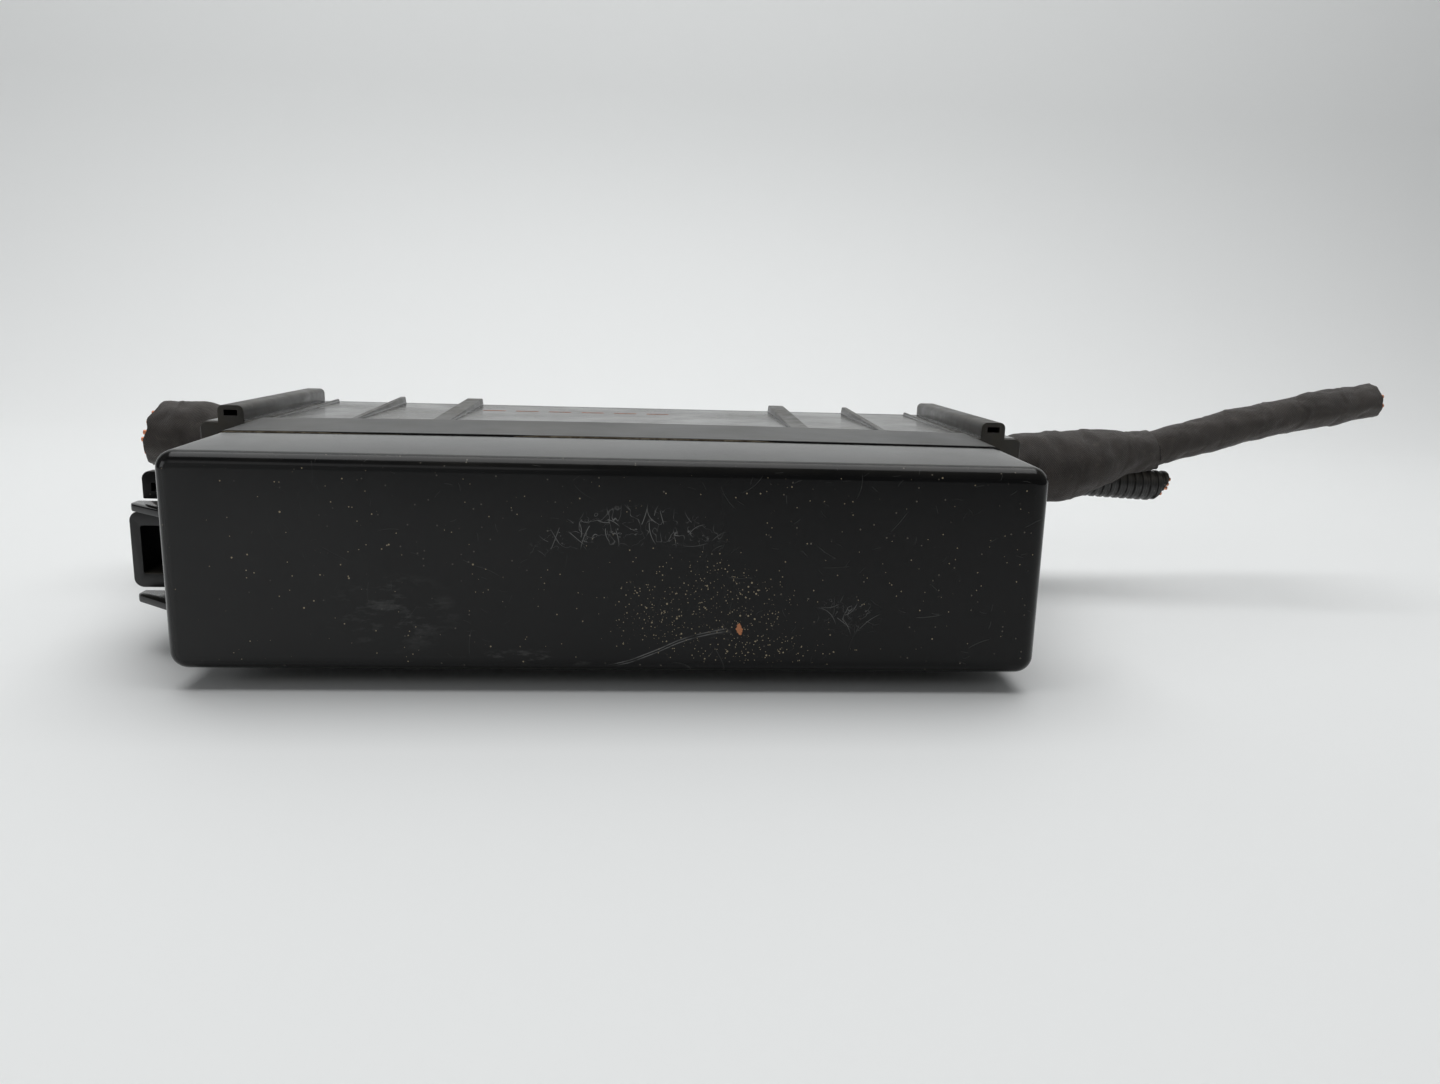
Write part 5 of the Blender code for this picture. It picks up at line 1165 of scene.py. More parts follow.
def make_housing():
    edge = 0.0004
    shell = lofted("housing_body", [
        edged_ring(BODY_FRONT, edge),
        edged_ring(BODY_FRONT + edge, 0.0),
        edged_ring(BODY_BACK - 0.0002, 0.0),
        edged_ring(BODY_BACK, 0.0002),
    ])
    sleeve_w, sleeve_h = SEAM_HALF_W - COLLAR_WALL - SEAM_GAP, SEAM_HALF_H - COLLAR_WALL - SEAM_GAP
    sleeve_front = panel_high[1] + SEAM_GAP
    sleeve_ends = (sleeve_front, BODY_FRONT + 0.0005)
    grown = [lofted("sleeve", [ring(sleeve_w, sleeve_h, 0.0012, y) for y in sleeve_ends])]
    for side in (-1, 1):
        for face in (-1, 1):
            grown.append(rail(side, face))
            grown += [rib(side * x, width, height, face) for x, width, height in RIBS]
    combine(shell, grown)
    front_wall = BODY_FRONT + BODY_WALL
    cavity = lofted("cavity", [edged_ring(y, BODY_WALL) for y in (front_wall, BODY_BACK + 0.001)])
    mouth_w, mouth_h = sleeve_w - 0.0020, sleeve_h - 0.0020
    mouth = lofted("mouth", [
        ring(mouth_w, mouth_h, 0.0008, y) for y in (sleeve_front - 0.001, front_wall + 0.0005)
    ])
    combine(shell, [cavity, mouth], "DIFFERENCE")
    posts = []
    for name in ("back_screw_1", "back_screw_2", "back_screw_3", "back_screw_4"):
        middle = centre_of(name)
        posts.append(pin("boss", (middle.x, BODY_BACK - 0.0155, middle.z), BACKWARD, BOSS_R, 0.0120, 24))
    for name in ("board_screw_1", "board_screw_2", "board_screw_3", "board_screw_4"):
        middle = centre_of(name)
        foot = MID_Z - BODY_HALF_H + BODY_WALL - 0.0005
        posts.append(pin("post", (middle.x, middle.y, foot), UP, BOSS_R, BOARD_Z - SEAM_GAP - foot, 24))
    combine(shell, posts)
    cuts = []
    for side in (-1, 1):
        for face in (-1, 1):
            x, z = MID_X + side * RAIL_X, MID_Z + face * (BODY_HALF_H + 0.0023)
            slot_low = (x - 0.0018, BODY_FRONT - 0.001, z - 0.0008)
            slot_high = (x + 0.0018, BODY_BACK + 0.001, z + 0.0008)
            cuts.append(block("slot", slot_low, slot_high, 0.0))
        exit_base = (MID_X + side * (BODY_HALF_W - 0.005), WIRE_Y, WIRE_Z)
        cuts.append(pin("wire_hole", exit_base, RIGHT * side, BUNDLE_R + 0.0018, 0.010, 64, 0.0))
    for k in (1, 2, 3, 4):
        back, board = centre_of(f"back_screw_{k}"), centre_of(f"board_screw_{k}")
        cuts.append(pin("pilot", (back.x, BODY_BACK - 0.0135, back.z), BACKWARD, PILOT_R, 0.012, 24, 0.0))
        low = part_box(f"board_screw_{k}")[0][2]
        cuts.append(pin("pilot", (board.x, board.y, low - 0.0005), UP, PILOT_R, 0.010, 24, 0.0))
    combine(shell, cuts, "DIFFERENCE")
    lever_low, lever_high = LEVER_MID_Z - LEVER_HALF, LEVER_MID_Z + LEVER_HALF
    return combine(shell, [lever_lug(lever_low - SEAM_GAP - LUG), lever_lug(lever_high + SEAM_GAP)])


dress(make_housing(), "base", BODY_BLACK, "body_black", "housing")

# %% [markdown]
# ## Back cover and screws
#
# The rear plate is a plain pressing with a shallow recess and a small radius all round, held by a screw in
# each corner. All ten screws of the unit are one pan-head part with a cross recess. The geometry nodes
# turn one head and shank, and a loop of points sets where each goes, as a bin of equal screws would.

# %% Back cover
def make_back_cover():
    front, back = BODY_BACK + SEAM_GAP, back_high[1]
    lip_front, edge, depth = BODY_BACK - 0.0030, 0.0007, 0.0010
    inner = BODY_WALL + SEAM_GAP
    rings = [
        edged_ring(front, inner + 0.0016), edged_ring(lip_front, inner + 0.0016),
        edged_ring(lip_front, inner + 0.0002), edged_ring(lip_front + 0.0002, inner),
        edged_ring(front, inner), edged_ring(front, 0.0),
    ]
    for k in range(7):
        angle = math.pi / 2 * k / 6
        rings.append(edged_ring(back - edge + edge * math.sin(angle), edge * (1 - math.cos(angle))))
    recess_w, recess_h = BODY_HALF_W - 0.0140, BODY_HALF_H - 0.0080
    for k in range(5):
        share = k / 4
        sink = depth * (1 - math.cos(math.pi * share)) / 2
        rings.append(ring(recess_w - depth * share, recess_h - depth * share, 0.0022, back - sink))
    plate = lofted("rear_plate", rings)
    cuts = []
    for k in (1, 2, 3, 4):
        middle = centre_of(f"back_screw_{k}")
        cuts.append(pin("hole", (middle.x, lip_front - 0.001, middle.z), BACKWARD, PILOT_R, 0.010, 24, 0.0))
        cuts.append(pin("seat", (middle.x, back - 0.0020, middle.z), BACKWARD, 0.0032, 0.004, 32, 0.0))
    return combine(plate, cuts, "DIFFERENCE")


dress(make_back_cover(), "base", BODY_BLACK, "body_black", "back_cover")


# %% Tools for geometry nodes
def nodes_tree(name, inputs):
    """An empty geometry tree with named inputs: (name, kind, value)."""
    tree = bpy.data.node_groups.new(name, "GeometryNodeTree")
    tree.interface.new_socket("Geometry", in_out="INPUT", socket_type="NodeSocketGeometry")
    for label, kind, value in inputs:
        socket = tree.interface.new_socket(label, in_out="INPUT", socket_type=f"NodeSocket{kind}")
        if value is not None:
            socket.default_value = value
    tree.interface.new_socket("Geometry", in_out="OUTPUT", socket_type="NodeSocketGeometry")
    return tree, tree.nodes.new("NodeGroupInput"), tree.nodes.new("NodeGroupOutput")


def step(tree, kind, settings=None, **inputs):
    """One geometry node; an input is a value or another node's socket."""
    made = tree.nodes.new(kind)
    for key, value in (settings or {}).items():
        setattr(made, key, value)
    for key, value in inputs.items():
        socket = made.inputs[int(key[1:])] if key[1:].isdigit() else made.inputs[key.replace("_", " ")]
        if isinstance(value, bpy.types.NodeSocket):
            tree.links.new(value, socket)
        else:
            socket.default_value = value
    return made


def close_tree(tree, out, geometry, material):
    """Ends a tree the way the export needs: instances made real, then the material."""
    real = step(tree, "GeometryNodeRealizeInstances", Geometry=geometry)
    dressed = step(tree, "GeometryNodeSetMaterial", Geometry=real.outputs[0], Material=material)
    tree.links.new(dressed.outputs[0], out.inputs[0])


def grow(obj, tree, **inputs):
    """Runs a tree on an object with its named inputs set, and bakes the result."""
    modifier = obj.modifiers.new("nodes", "NODES")
    modifier.node_group = tree
    for item in tree.interface.items_tree:
        key = item.name.replace(" ", "_")
        if item.in_out == "INPUT" and key in inputs:
            modifier[item.identifier] = inputs[key]
    baked(obj)
    obj.data.shade_smooth()
    obj.data.set_sharp_from_angle(angle=math.radians(35))
    return obj


def points_object(name, places, ways=None):
    """Loose points, each with the direction that it faces."""
    mesh = bpy.data.meshes.new(name)
    mesh.from_pydata([tuple(p) for p in places], [], [])
    if ways:
        attribute = mesh.attributes.new("way", "FLOAT_VECTOR", "POINT")
        attribute.data.foreach_set("vector", [v for way in ways for v in way])
    return new_object(name, mesh)


# %% One screw
SCREW_HEAD_R = 0.0029
SCREW_HEAD = 0.0017


def make_screw_prototype():
    """A pan head with a cross recess on a plain shank; its head looks up from its seat at the origin."""
    profile = [(0.0006, -0.0080), (SCREW_R, -0.0066), (SCREW_R, 0.0), (SCREW_HEAD_R - 0.0002, 0.0)]
    profile += [(SCREW_HEAD_R, 0.0002), (SCREW_HEAD_R, 0.0006)]
    for k in range(1, 7):
        angle = math.pi / 2 * k / 6
        dome = (SCREW_HEAD - 0.0006) * math.sin(angle)
        profile.append((SCREW_HEAD_R * (0.45 + 0.55 * math.cos(angle)), 0.0006 + dome))
    sides = 32
    angles = [2 * math.pi * k / sides for k in range(sides)]
    rings = [[Vector((r * math.cos(a), r * math.sin(a), z)) for a in angles] for r, z in profile]
    screw = lofted("screw_prototype", rings)
    for long_x, long_y in ((0.0016, 0.00035), (0.00035, 0.0016)):
        cutter = block(
            "cross", (-long_x, -long_y, SCREW_HEAD - 0.0009), (long_x, long_y, SCREW_HEAD + 0.001), 0.0
        )
        combine(screw, [cutter], "DIFFERENCE")
    screw.hide_render = True
    return screw


screw_prototype = make_screw_prototype()


# %% The tree that places the screws
def screws_tree(material):
    tree, given, out = nodes_tree("screws", [("Screw", "Object", None)])
    info = step(tree, "GeometryNodeObjectInfo", Object=given.outputs["Screw"])
    way = step(tree, "GeometryNodeInputNamedAttribute", {"data_type": "FLOAT_VECTOR"}, Name="way")
    turned = step(tree, "FunctionNodeAlignRotationToVector", {"axis": "Z"}, Vector=way.outputs[0])
    placed = step(
        tree, "GeometryNodeInstanceOnPoints", Points=given.outputs["Geometry"],
        Instance=info.outputs["Geometry"], Rotation=turned.outputs[0],
    )
    close_tree(tree, out, placed.outputs[0], material)
    return tree


screw_names = [f"back_screw_{k}" for k in (1, 2, 3, 4)] + [f"board_screw_{k}" for k in (1, 2, 3, 4)]
screw_names += ["panel_screw_left", "panel_screw_right"]
seats, ways = [], []
for name in screw_names:
    low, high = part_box(name)
    middle = (low + high) / 2
    if name.startswith("back"):
        seats.append((middle.x, high[1] - SCREW_HEAD, middle.z))
        ways.append(BACKWARD)
    elif name.startswith("board"):
        seats.append((middle.x, middle.y, high[2] - SCREW_HEAD))
        ways.append(UP)
    else:
        seats.append((middle.x, low[1] + SCREW_HEAD, middle.z))
        ways.append(FORWARD)
screws = grow(points_object("screws", seats, ways), screws_tree(STEEL), Screw=screw_prototype)
dress(screws, "base", None, "zinc_steel", *screw_names)
bpy.data.objects.remove(screw_prototype)

# %% [markdown]
# ## The latch lever
#
# A channel that opens towards the box and swings out on two pins. Its web is what a thumb pulls, and its
# arms straddle the cover's tongue. Fine dirt has packed into its upper corner, where nobody wipes.

# %% Lever
def make_lever():
    outer, inner = lever_low_corner[0], LEFT_WALL - 0.0070
    web, arm, corner = outer + 0.0026, 0.0036, 0.0024
    low, high = LEVER_MID_Z - LEVER_HALF, LEVER_MID_Z + LEVER_HALF
    back = PIVOT.y + 0.0016
    outline = [(inner, high), (inner, high - arm)]
    outline += arc_points((web + 0.0006, high - arm - 0.0006), 0.0006, 90, 180, 4)
    outline += arc_points((web + 0.0006, low + arm + 0.0006), 0.0006, 180, 270, 4)
    outline += [(inner, low + arm), (inner, low)]
    outline += arc_points((outer + corner, low + corner), corner, 270, 180, 10)
    outline += arc_points((outer + corner, high - corner), corner, 180, 90, 10)
    lever = soft_prism("lever", outline, lever_low_corner[1], back, "y", 0.0004)
    swing = math.hypot(HINGE_X - (LEFT_WALL - 0.0090), SEAM_Y + 0.0180 - HINGE_Y)
    barb_y = SEAM_Y + 0.0100
    barb = block(
        "barb", (web - 0.0004, barb_y, low + arm - 0.0004),
        (HINGE_X - swing - 0.0010, barb_y + 0.0030, high - arm + 0.0004),
    )
    grown = [barb]
    for foot, way in ((high - 0.0005, UP), (low + 0.0005, DOWN)):
        grown.append(pin("pin", (PIVOT.x, PIVOT.y, foot), way, PIVOT_PIN_R, 0.0005 + LUG))
    return combine(lever, grown)


dress(make_lever(), "latch_lever", LEVER_BLACK, "lever_black", "latch_lever")

# %% [markdown]
# ## Taped wiring
#
# The wires leave through a rubber grommet on each side, wrapped in cloth tape. Tape is wound in a spiral
# with each turn half over the last, so its surface is a shallow staircase that climbs round the bundle,
# with lumps where the wires lie. A tube is built ring by ring, and every ring's radius is pushed by that
# spiral step and by smooth noise. Its map is in millimetres, so the weave keeps its size.

# %% A smooth line through stations
def lift_of(way):
    """The direction across a bundle that looks up."""
    lift = way.cross(BACKWARD)
    return lift if lift.z > 0 else -lift


def smooth_stations(stations, spacing):
    """Even steps on a curve through rows of x, z, half depth, half height and cut slant."""
    rows = np.array([stations[0], *stations, stations[-1]], float)
    rows[0] = 2 * rows[1] - rows[2]
    rows[-1] = 2 * rows[-2] - rows[-3]
    fine = []
    for a, b, c, d in zip(rows, rows[1:], rows[2:], rows[3:]):
        for t in np.arange(24) / 24:
            bend, twist = 2 * a - 5 * b + 4 * c - d, 3 * b - a - 3 * c + d
            fine.append(0.5 * (2 * b + (c - a) * t + bend * t**2 + twist * t**3))
    fine = np.array([*fine, rows[-2]])
    run = np.concatenate([[0.0], np.cumsum(np.hypot(np.diff(fine[:, 0]), np.diff(fine[:, 1])))])
    steps = np.linspace(0.0, run[-1], max(int(run[-1] / spacing), 2) + 1)
    return steps, np.array([np.interp(steps, run, column) for column in fine.T]).T


# %% The taped tube
TAPE_PITCH = 0.0145
TAPE_EDGE = 0.00030
SIDES = 80


def tape_rise(s, angle, seed, lumps):
    """How far the tape stands off the bundle at one place."""
    around = (math.cos(angle), math.sin(angle))
    drift = 0.30 * noise.noise(Vector((s * 45, around[0] * 0.7 + seed * 9, around[1] * 0.7)))
    phase = (s / TAPE_PITCH + angle / (2 * math.pi) + drift) % 1.0
    edge = TAPE_EDGE * (
        0.55 + 0.9 * abs(noise.noise(Vector((s * 90, around[0] * 1.5, around[1] * 1.5 + seed))))
    )
    stair = edge * (min(phase / 0.035, 1.0) - max(phase - 0.035, 0.0) / 0.965)
    spot = Vector((s * 1000, around[0] * 10, around[1] * 10 + seed * 31))
    lump = noise.noise(spot * 0.075) * lumps * 1.3 + noise.noise(spot * 0.21) * lumps * 0.6
    fine = noise.noise(spot * 0.7) * 0.00007
    pull = noise.noise(Vector((s * 260 + angle * 1.1, around[0] * 1.3, around[1] * 1.3 + seed)))
    crease = max(pull - 0.18, 0.0) * 0.0007
    return stair + lump + fine - crease


def taped_tube(name, stations, seed=0.0, lumps=0.0005, calm=0.0, ragged=0.0, rim=0.0009, recess=0.0018):
    """A wrapped bundle through stations (x, z, half depth, half height, slant).

    calm is the length at the start that has no lumps."""
    steps, rows = smooth_stations(stations, 0.00045)
    ways = np.gradient(rows[:, :2], axis=0)
    bm = bmesh.new()
    rings, uvs = [], []
    for s, (x, z, half_y, half_z, slant), (dx, dz) in zip(steps, rows, ways):
        way = Vector((dx, 0.0, dz)).normalized()
        lift = lift_of(way)
        settle = min(max((s - calm) / 0.004, 0.0), 1.0)
        centre = Vector((MID_X + x, WIRE_Y, z))
        points = []
        for k in range(SIDES):
            angle = 2 * math.pi * k / SIDES
            rise = tape_rise(s, angle, seed, lumps) * settle - 0.0002
            y, up = (half_y + rise) * math.cos(angle), (half_z + rise) * math.sin(angle)
            uneven = ragged * noise.noise(Vector((math.cos(angle) * 3, math.sin(angle) * 3, seed + 7)))
            points.append(centre + BACKWARD * y + lift * up + way * (uneven - slant * up))
        rings.append(points)
        uvs.append(s * 1000)
    outside = len(rings)
    hub = sum(rings[-1], Vector()) / SIDES
    for share, back in ((rim, 0.0), (rim, recess)):
        last_way = Vector((ways[-1][0], 0.0, ways[-1][1])).normalized()
        inner = []
        for p in rings[outside - 1]:
            away = p - hub
            inner.append(hub + away * (1 - share / away.length) - last_way * back)
        rings.append(inner)
        uvs.append(uvs[-1] + 0.9)
    loops = skin(bm, rings)
    index = {v: (i, k) for i, loop in enumerate(loops) for k, v in enumerate(loop)}
    layer = bm.loops.layers.uv.new("UVMap")
    girth = 2 * math.pi * float(np.mean(rows[:, 2:4])) * 1000
    for face in bm.faces:
        wrapped = {index[loop.vert][1] for loop in face.loops}
        over = {0, SIDES - 1} <= wrapped
        for loop in face.loops:
            i, k = index[loop.vert]
            share = (k if not (over and k == 0) else SIDES) / SIDES
            loop[layer].uv = (share * girth, uvs[i])
    bmesh.ops.recalc_face_normals(bm, faces=bm.faces)
    return from_bmesh(name, bm, smooth=50)


# %% Trunk on the right
BRANCH_ROUTE = (
    (0.1784, 0.0477), (0.1860, 0.0501), (0.1940, 0.0525), (0.2030, 0.0549), (0.2120, 0.0571),
    (0.2210, 0.0593), (0.2310, 0.0615), (0.2420, 0.0637), (0.2535, 0.0659),
)
BRANCH_DIAMETER = 0.0124
TRUNK_RINGS = (
    (0.06, -0.0005, 0.0086, 0.0086), (0.20, -0.0005, 0.0100, 0.0104), (0.34, -0.0004, 0.0106, 0.0118),
    (0.47, -0.0002, 0.0104, 0.0121), (0.62, 0.0015, 0.0096, 0.0107), (0.77, 0.0036, 0.0086, 0.0088),
    (0.88, 0.0045, 0.0074, 0.0076),
)
CONDUIT_R = 0.0052
CONDUIT_FROM = Vector((MID_X + BRANCH_ROUTE[0][0] - 0.0304, WIRE_Y, BRANCH_ROUTE[0][1] - 0.0108))
CONDUIT_TO = Vector((MID_X + BRANCH_ROUTE[0][0] + 0.0036, WIRE_Y, BRANCH_ROUTE[0][1] - 0.0125))
BUNDLE_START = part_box("harness_trunk")[0][0] - MID_X
OUTSIDE = BODY_HALF_W + 0.0035


def make_trunk():
    stations = [(x, WIRE_Z, BUNDLE_R, BUNDLE_R, 0.0) for x in (BUNDLE_START, BODY_HALF_W, OUTSIDE)]
    end_x, end_z = BRANCH_ROUTE[0]
    for share, rise, half_y, half_z in TRUNK_RINGS:
        stations.append((OUTSIDE + (end_x - OUTSIDE) * share, WIRE_Z + rise, half_y, half_z, 0.0))
    way = Vector((BRANCH_ROUTE[1][0] - end_x, BRANCH_ROUTE[1][1] - end_z)).normalized() * SEAM_GAP
    stations.append((end_x - way.x, end_z - way.y, 0.0063, 0.0064, 0.0))
    calm = OUTSIDE - BUNDLE_START
    trunk = taped_tube("trunk", stations, seed=1.0, lumps=0.0009, calm=calm, rim=0.0004, recess=0.0002)
    way = (CONDUIT_TO - CONDUIT_FROM).normalized()
    length = (CONDUIT_TO - CONDUIT_FROM).length + CONDUIT_R
    pocket = pin("pocket", CONDUIT_FROM - way * SEAM_GAP, way, CONDUIT_R + SEAM_GAP, length, 64, 0.0)
    return combine(trunk, [pocket], "DIFFERENCE")


dress(make_trunk(), "base", TAPE, "cloth_tape", "harness_trunk")


# %% Branch and stub
branch_stations = [(x, z, BRANCH_DIAMETER / 2, BRANCH_DIAMETER / 2, 0.0) for x, z in BRANCH_ROUTE]
branch = taped_tube("branch", branch_stations, seed=2.0, lumps=0.00055, ragged=0.0003)
dress(branch, "base", TAPE, "cloth_tape", "harness_branch")

STUB_RINGS = (
    (0.0060, 0.0010, 0.0082, 0.0084), (0.0105, 0.0031, 0.0090, 0.0093), (0.0165, 0.0046, 0.0096, 0.0099),
    (0.0215, 0.0050, 0.0098, 0.0101),
)
STUB_END_X = -(BODY_HALF_W + 0.0318)
STUB_SLANT = 0.25


def make_stub():
    stations = [(-x, WIRE_Z, BUNDLE_R, BUNDLE_R, 0.0) for x in (BUNDLE_START, BODY_HALF_W, OUTSIDE)]
    for out, rise, half_y, half_z in STUB_RINGS:
        stations.append((-(BODY_HALF_W + out), WIRE_Z + rise, half_y, half_z, 0.0))
    _, rise, half_y, half_z = STUB_RINGS[-1]
    stations.append((STUB_END_X, WIRE_Z + rise, half_y, half_z, STUB_SLANT))
    return taped_tube("stub", stations, 3.0, 0.0009, OUTSIDE - BUNDLE_START, ragged=0.0010)


dress(make_stub(), "base", TAPE, "cloth_tape", "harness_stub")

# %% [markdown]
# ## Corrugated conduit
#
# A thin black tube with ridges that let it bend. It is one curve whose radius rises and falls along its
# length, so the geometry nodes sweep a circle along the line and set the radius from the distance.

# %% Conduit
CONDUIT_SLANT = -0.50


def conduit_tree(material):
    tree, given, out = nodes_tree("conduit", [
        ("Radius", "Float", CONDUIT_R), ("Groove", "Float", 0.0005), ("Pitch", "Float", 0.0027),
    ])
    line = step(tree, "GeometryNodeMeshToCurve", Mesh=given.outputs["Geometry"])
    fine = step(tree, "GeometryNodeResampleCurve", {"mode": "LENGTH"}, Curve=line.outputs[0], Length=0.0002)
    along = step(tree, "GeometryNodeSplineParameter").outputs["Length"]
    turns = maths(tree, "DIVIDE", along, given.outputs["Pitch"])
    angle = maths(tree, "MULTIPLY", turns, 2 * math.pi)
    wave = maths(tree, "COSINE", angle)
    square = step(
        tree, "ShaderNodeMapRange", {"interpolation_type": "SMOOTHSTEP"}, Value=wave,
        From_Min=-0.35, From_Max=0.35,
    )
    low = maths(tree, "SUBTRACT", given.outputs["Radius"], given.outputs["Groove"])
    depth = step(
        tree, "ShaderNodeMath", {"operation": "MULTIPLY_ADD"}, i0=square.outputs[0],
        i1=given.outputs["Groove"], i2=low,
    )
    shaped = step(tree, "GeometryNodeSetCurveRadius", Curve=fine.outputs[0], Radius=depth.outputs[0])
    circle = step(tree, "GeometryNodeCurvePrimitiveCircle", Resolution=64, Radius=1.0)
    swept = step(
        tree, "GeometryNodeCurveToMesh", Curve=shaped.outputs[0], Profile_Curve=circle.outputs[0],
        Scale=depth.outputs[0], Fill_Caps=True,
    )
    close_tree(tree, out, swept.outputs[0], material)
    return tree


def make_conduit():
    """A straight line swept to a ridged tube; its far end is then cut at a slant."""
    way = (CONDUIT_TO - CONDUIT_FROM).normalized()
    extra = CONDUIT_R * 0.5
    mesh = bpy.data.meshes.new("conduit")
    mesh.from_pydata([tuple(CONDUIT_FROM), tuple(CONDUIT_TO + way * extra)], [(0, 1)], [])
    conduit = grow(new_object("conduit", mesh), conduit_tree(CONDUIT_BLACK), Pitch=0.0027)
    bm = bmesh.new()
    bm.from_mesh(conduit.data)
    lift = lift_of(way)
    slant = (way * 1.0 + lift * CONDUIT_SLANT).normalized()
    everything = bm.verts[:] + bm.edges[:] + bm.faces[:]
    cut = bmesh.ops.bisect_plane(
        bm, geom=everything, plane_co=CONDUIT_TO, plane_no=slant, clear_outer=True, dist=1e-6
    )
    rim = [e for e in cut["geom_cut"] if isinstance(e, bmesh.types.BMEdge)]
    end_face = bmesh.ops.contextual_create(bm, geom=rim)["faces"]
    bmesh.ops.inset_region(bm, faces=end_face, thickness=0.0006)
    inner = end_face[0]
    bmesh.ops.translate(bm, verts=inner.verts, vec=-way * 0.0012)
    bmesh.ops.recalc_face_normals(bm, faces=bm.faces)
    bm.to_mesh(conduit.data)
    bm.free()
    return conduit


dress(make_conduit(), "base", None, "conduit_black", "harness_conduit")

# %% [markdown]
# ## Cut wires
#
# Each bundle was cut with snips, so its end shows a packed round of wires: black insulation, and a spot of
# copper in each. Points in a sunflower pattern fill the circle evenly. On every point the nodes put one
# wire of two parts, a little longer or shorter than its neighbours.

# %% The tree that packs wires
CORE_SHARE = 0.62
CORE_OUT = 0.0012


def wires_tree():
    tree, given, out = nodes_tree("cut_wires", [
        ("Wire radius", "Float", 0.0010), ("Length", "Float", 0.0030),
        ("Uneven", "Float", 0.0010), ("Seed", "Int", 1),
    ])
    way = step(tree, "GeometryNodeInputNamedAttribute", {"data_type": "FLOAT_VECTOR"}, Name="way")
    turned = step(tree, "FunctionNodeAlignRotationToVector", {"axis": "Z"}, Vector=way.outputs[0])
    uneven = step(
        tree, "FunctionNodeRandomValue", {"data_type": "FLOAT"}, i2=0.0, i3=given.outputs["Uneven"],
        Seed=given.outputs["Seed"],
    )
    shift = step(
        tree, "ShaderNodeVectorMath", {"operation": "SCALE"}, i0=way.outputs[0], Scale=uneven.outputs[1]
    )
    moved = step(
        tree, "GeometryNodeSetPosition", Geometry=given.outputs["Geometry"], Offset=shift.outputs[0]
    )
    parts = []
    core_radius = maths(tree, "MULTIPLY", given.outputs["Wire radius"], CORE_SHARE)
    core_length = maths(tree, "ADD", given.outputs["Length"], CORE_OUT)
    sizes = (
        (given.outputs["Wire radius"], given.outputs["Length"], INSULATION),
        (core_radius, core_length, COPPER),
    )
    for radius, length, material in sizes:
        wire = step(
            tree, "GeometryNodeMeshCylinder", {"fill_type": "NGON"},
            Vertices=18, Side_Segments=1, Radius=radius, Depth=length,
        )
        half = maths(tree, "MULTIPLY", length, 0.5)
        lift = step(tree, "ShaderNodeCombineXYZ", Z=half)
        raised = step(
            tree, "GeometryNodeTransform", Geometry=wire.outputs["Mesh"], Translation=lift.outputs[0]
        )
        finished = step(tree, "GeometryNodeSetMaterial", Geometry=raised.outputs[0], Material=material)
        placed = step(
            tree, "GeometryNodeInstanceOnPoints", Points=moved.outputs[0], Instance=finished.outputs[0],
            Rotation=turned.outputs[0],
        )
        parts.append(placed.outputs[0])
    joined = step(tree, "GeometryNodeJoinGeometry")
    for part in parts:
        tree.links.new(part, joined.inputs[0])
    real = step(tree, "GeometryNodeRealizeInstances", Geometry=joined.outputs[0])
    tree.links.new(real.outputs[0], out.inputs[0])
    return tree


WIRES = wires_tree()


# %% Wires in the three ends
def cut_wires(name, centre, way, radius, slant, count, wire_r, seed, replaces):
    way = Vector(way).normalized()
    lift = lift_of(way)
    places = []
    for k in range(count):
        angle = k * math.radians(137.5)
        away = (radius - wire_r) * math.sqrt((k + 0.5) / count)
        y, up = away * math.cos(angle), away * math.sin(angle)
        places.append(Vector(centre) + BACKWARD * y + lift * up - way * (slant * up + 0.0014))
    wires = points_object(name, places, [way] * count)
    grow(wires, WIRES, Wire_radius=wire_r, Length=0.0020, Uneven=0.0008, Seed=seed)
    return dress(wires, "base", None, "bare_copper", replaces)


def route_point(k):
    return Vector((MID_X + BRANCH_ROUTE[k][0], WIRE_Y, BRANCH_ROUTE[k][1]))


branch_ends = cut_wires(
    "branch_wires", route_point(-1), route_point(-1) - route_point(-2), 0.0049, 0.0, 14, 0.00105, 4,
    "branch_wire_ends",
)
cut_wires(
    "conduit_wires", CONDUIT_TO, CONDUIT_TO - CONDUIT_FROM, 0.0040, CONDUIT_SLANT, 9, 0.0010, 5,
    "conduit_wire_ends",
)
stub_end = Vector((MID_X + STUB_END_X, WIRE_Y, WIRE_Z + 0.0050))
cut_wires("stub_wires", stub_end, -RIGHT, 0.0080, STUB_SLANT, 30, 0.0012, 6, "stub_wire_ends")

# %% [markdown]
# ## Grommets
#
# A rubber ring snaps into each side wall. It is a turned shape with a groove, and its outer flange has a
# soft rolled edge, so the profile is a short list of radius and depth, swept round the wires.

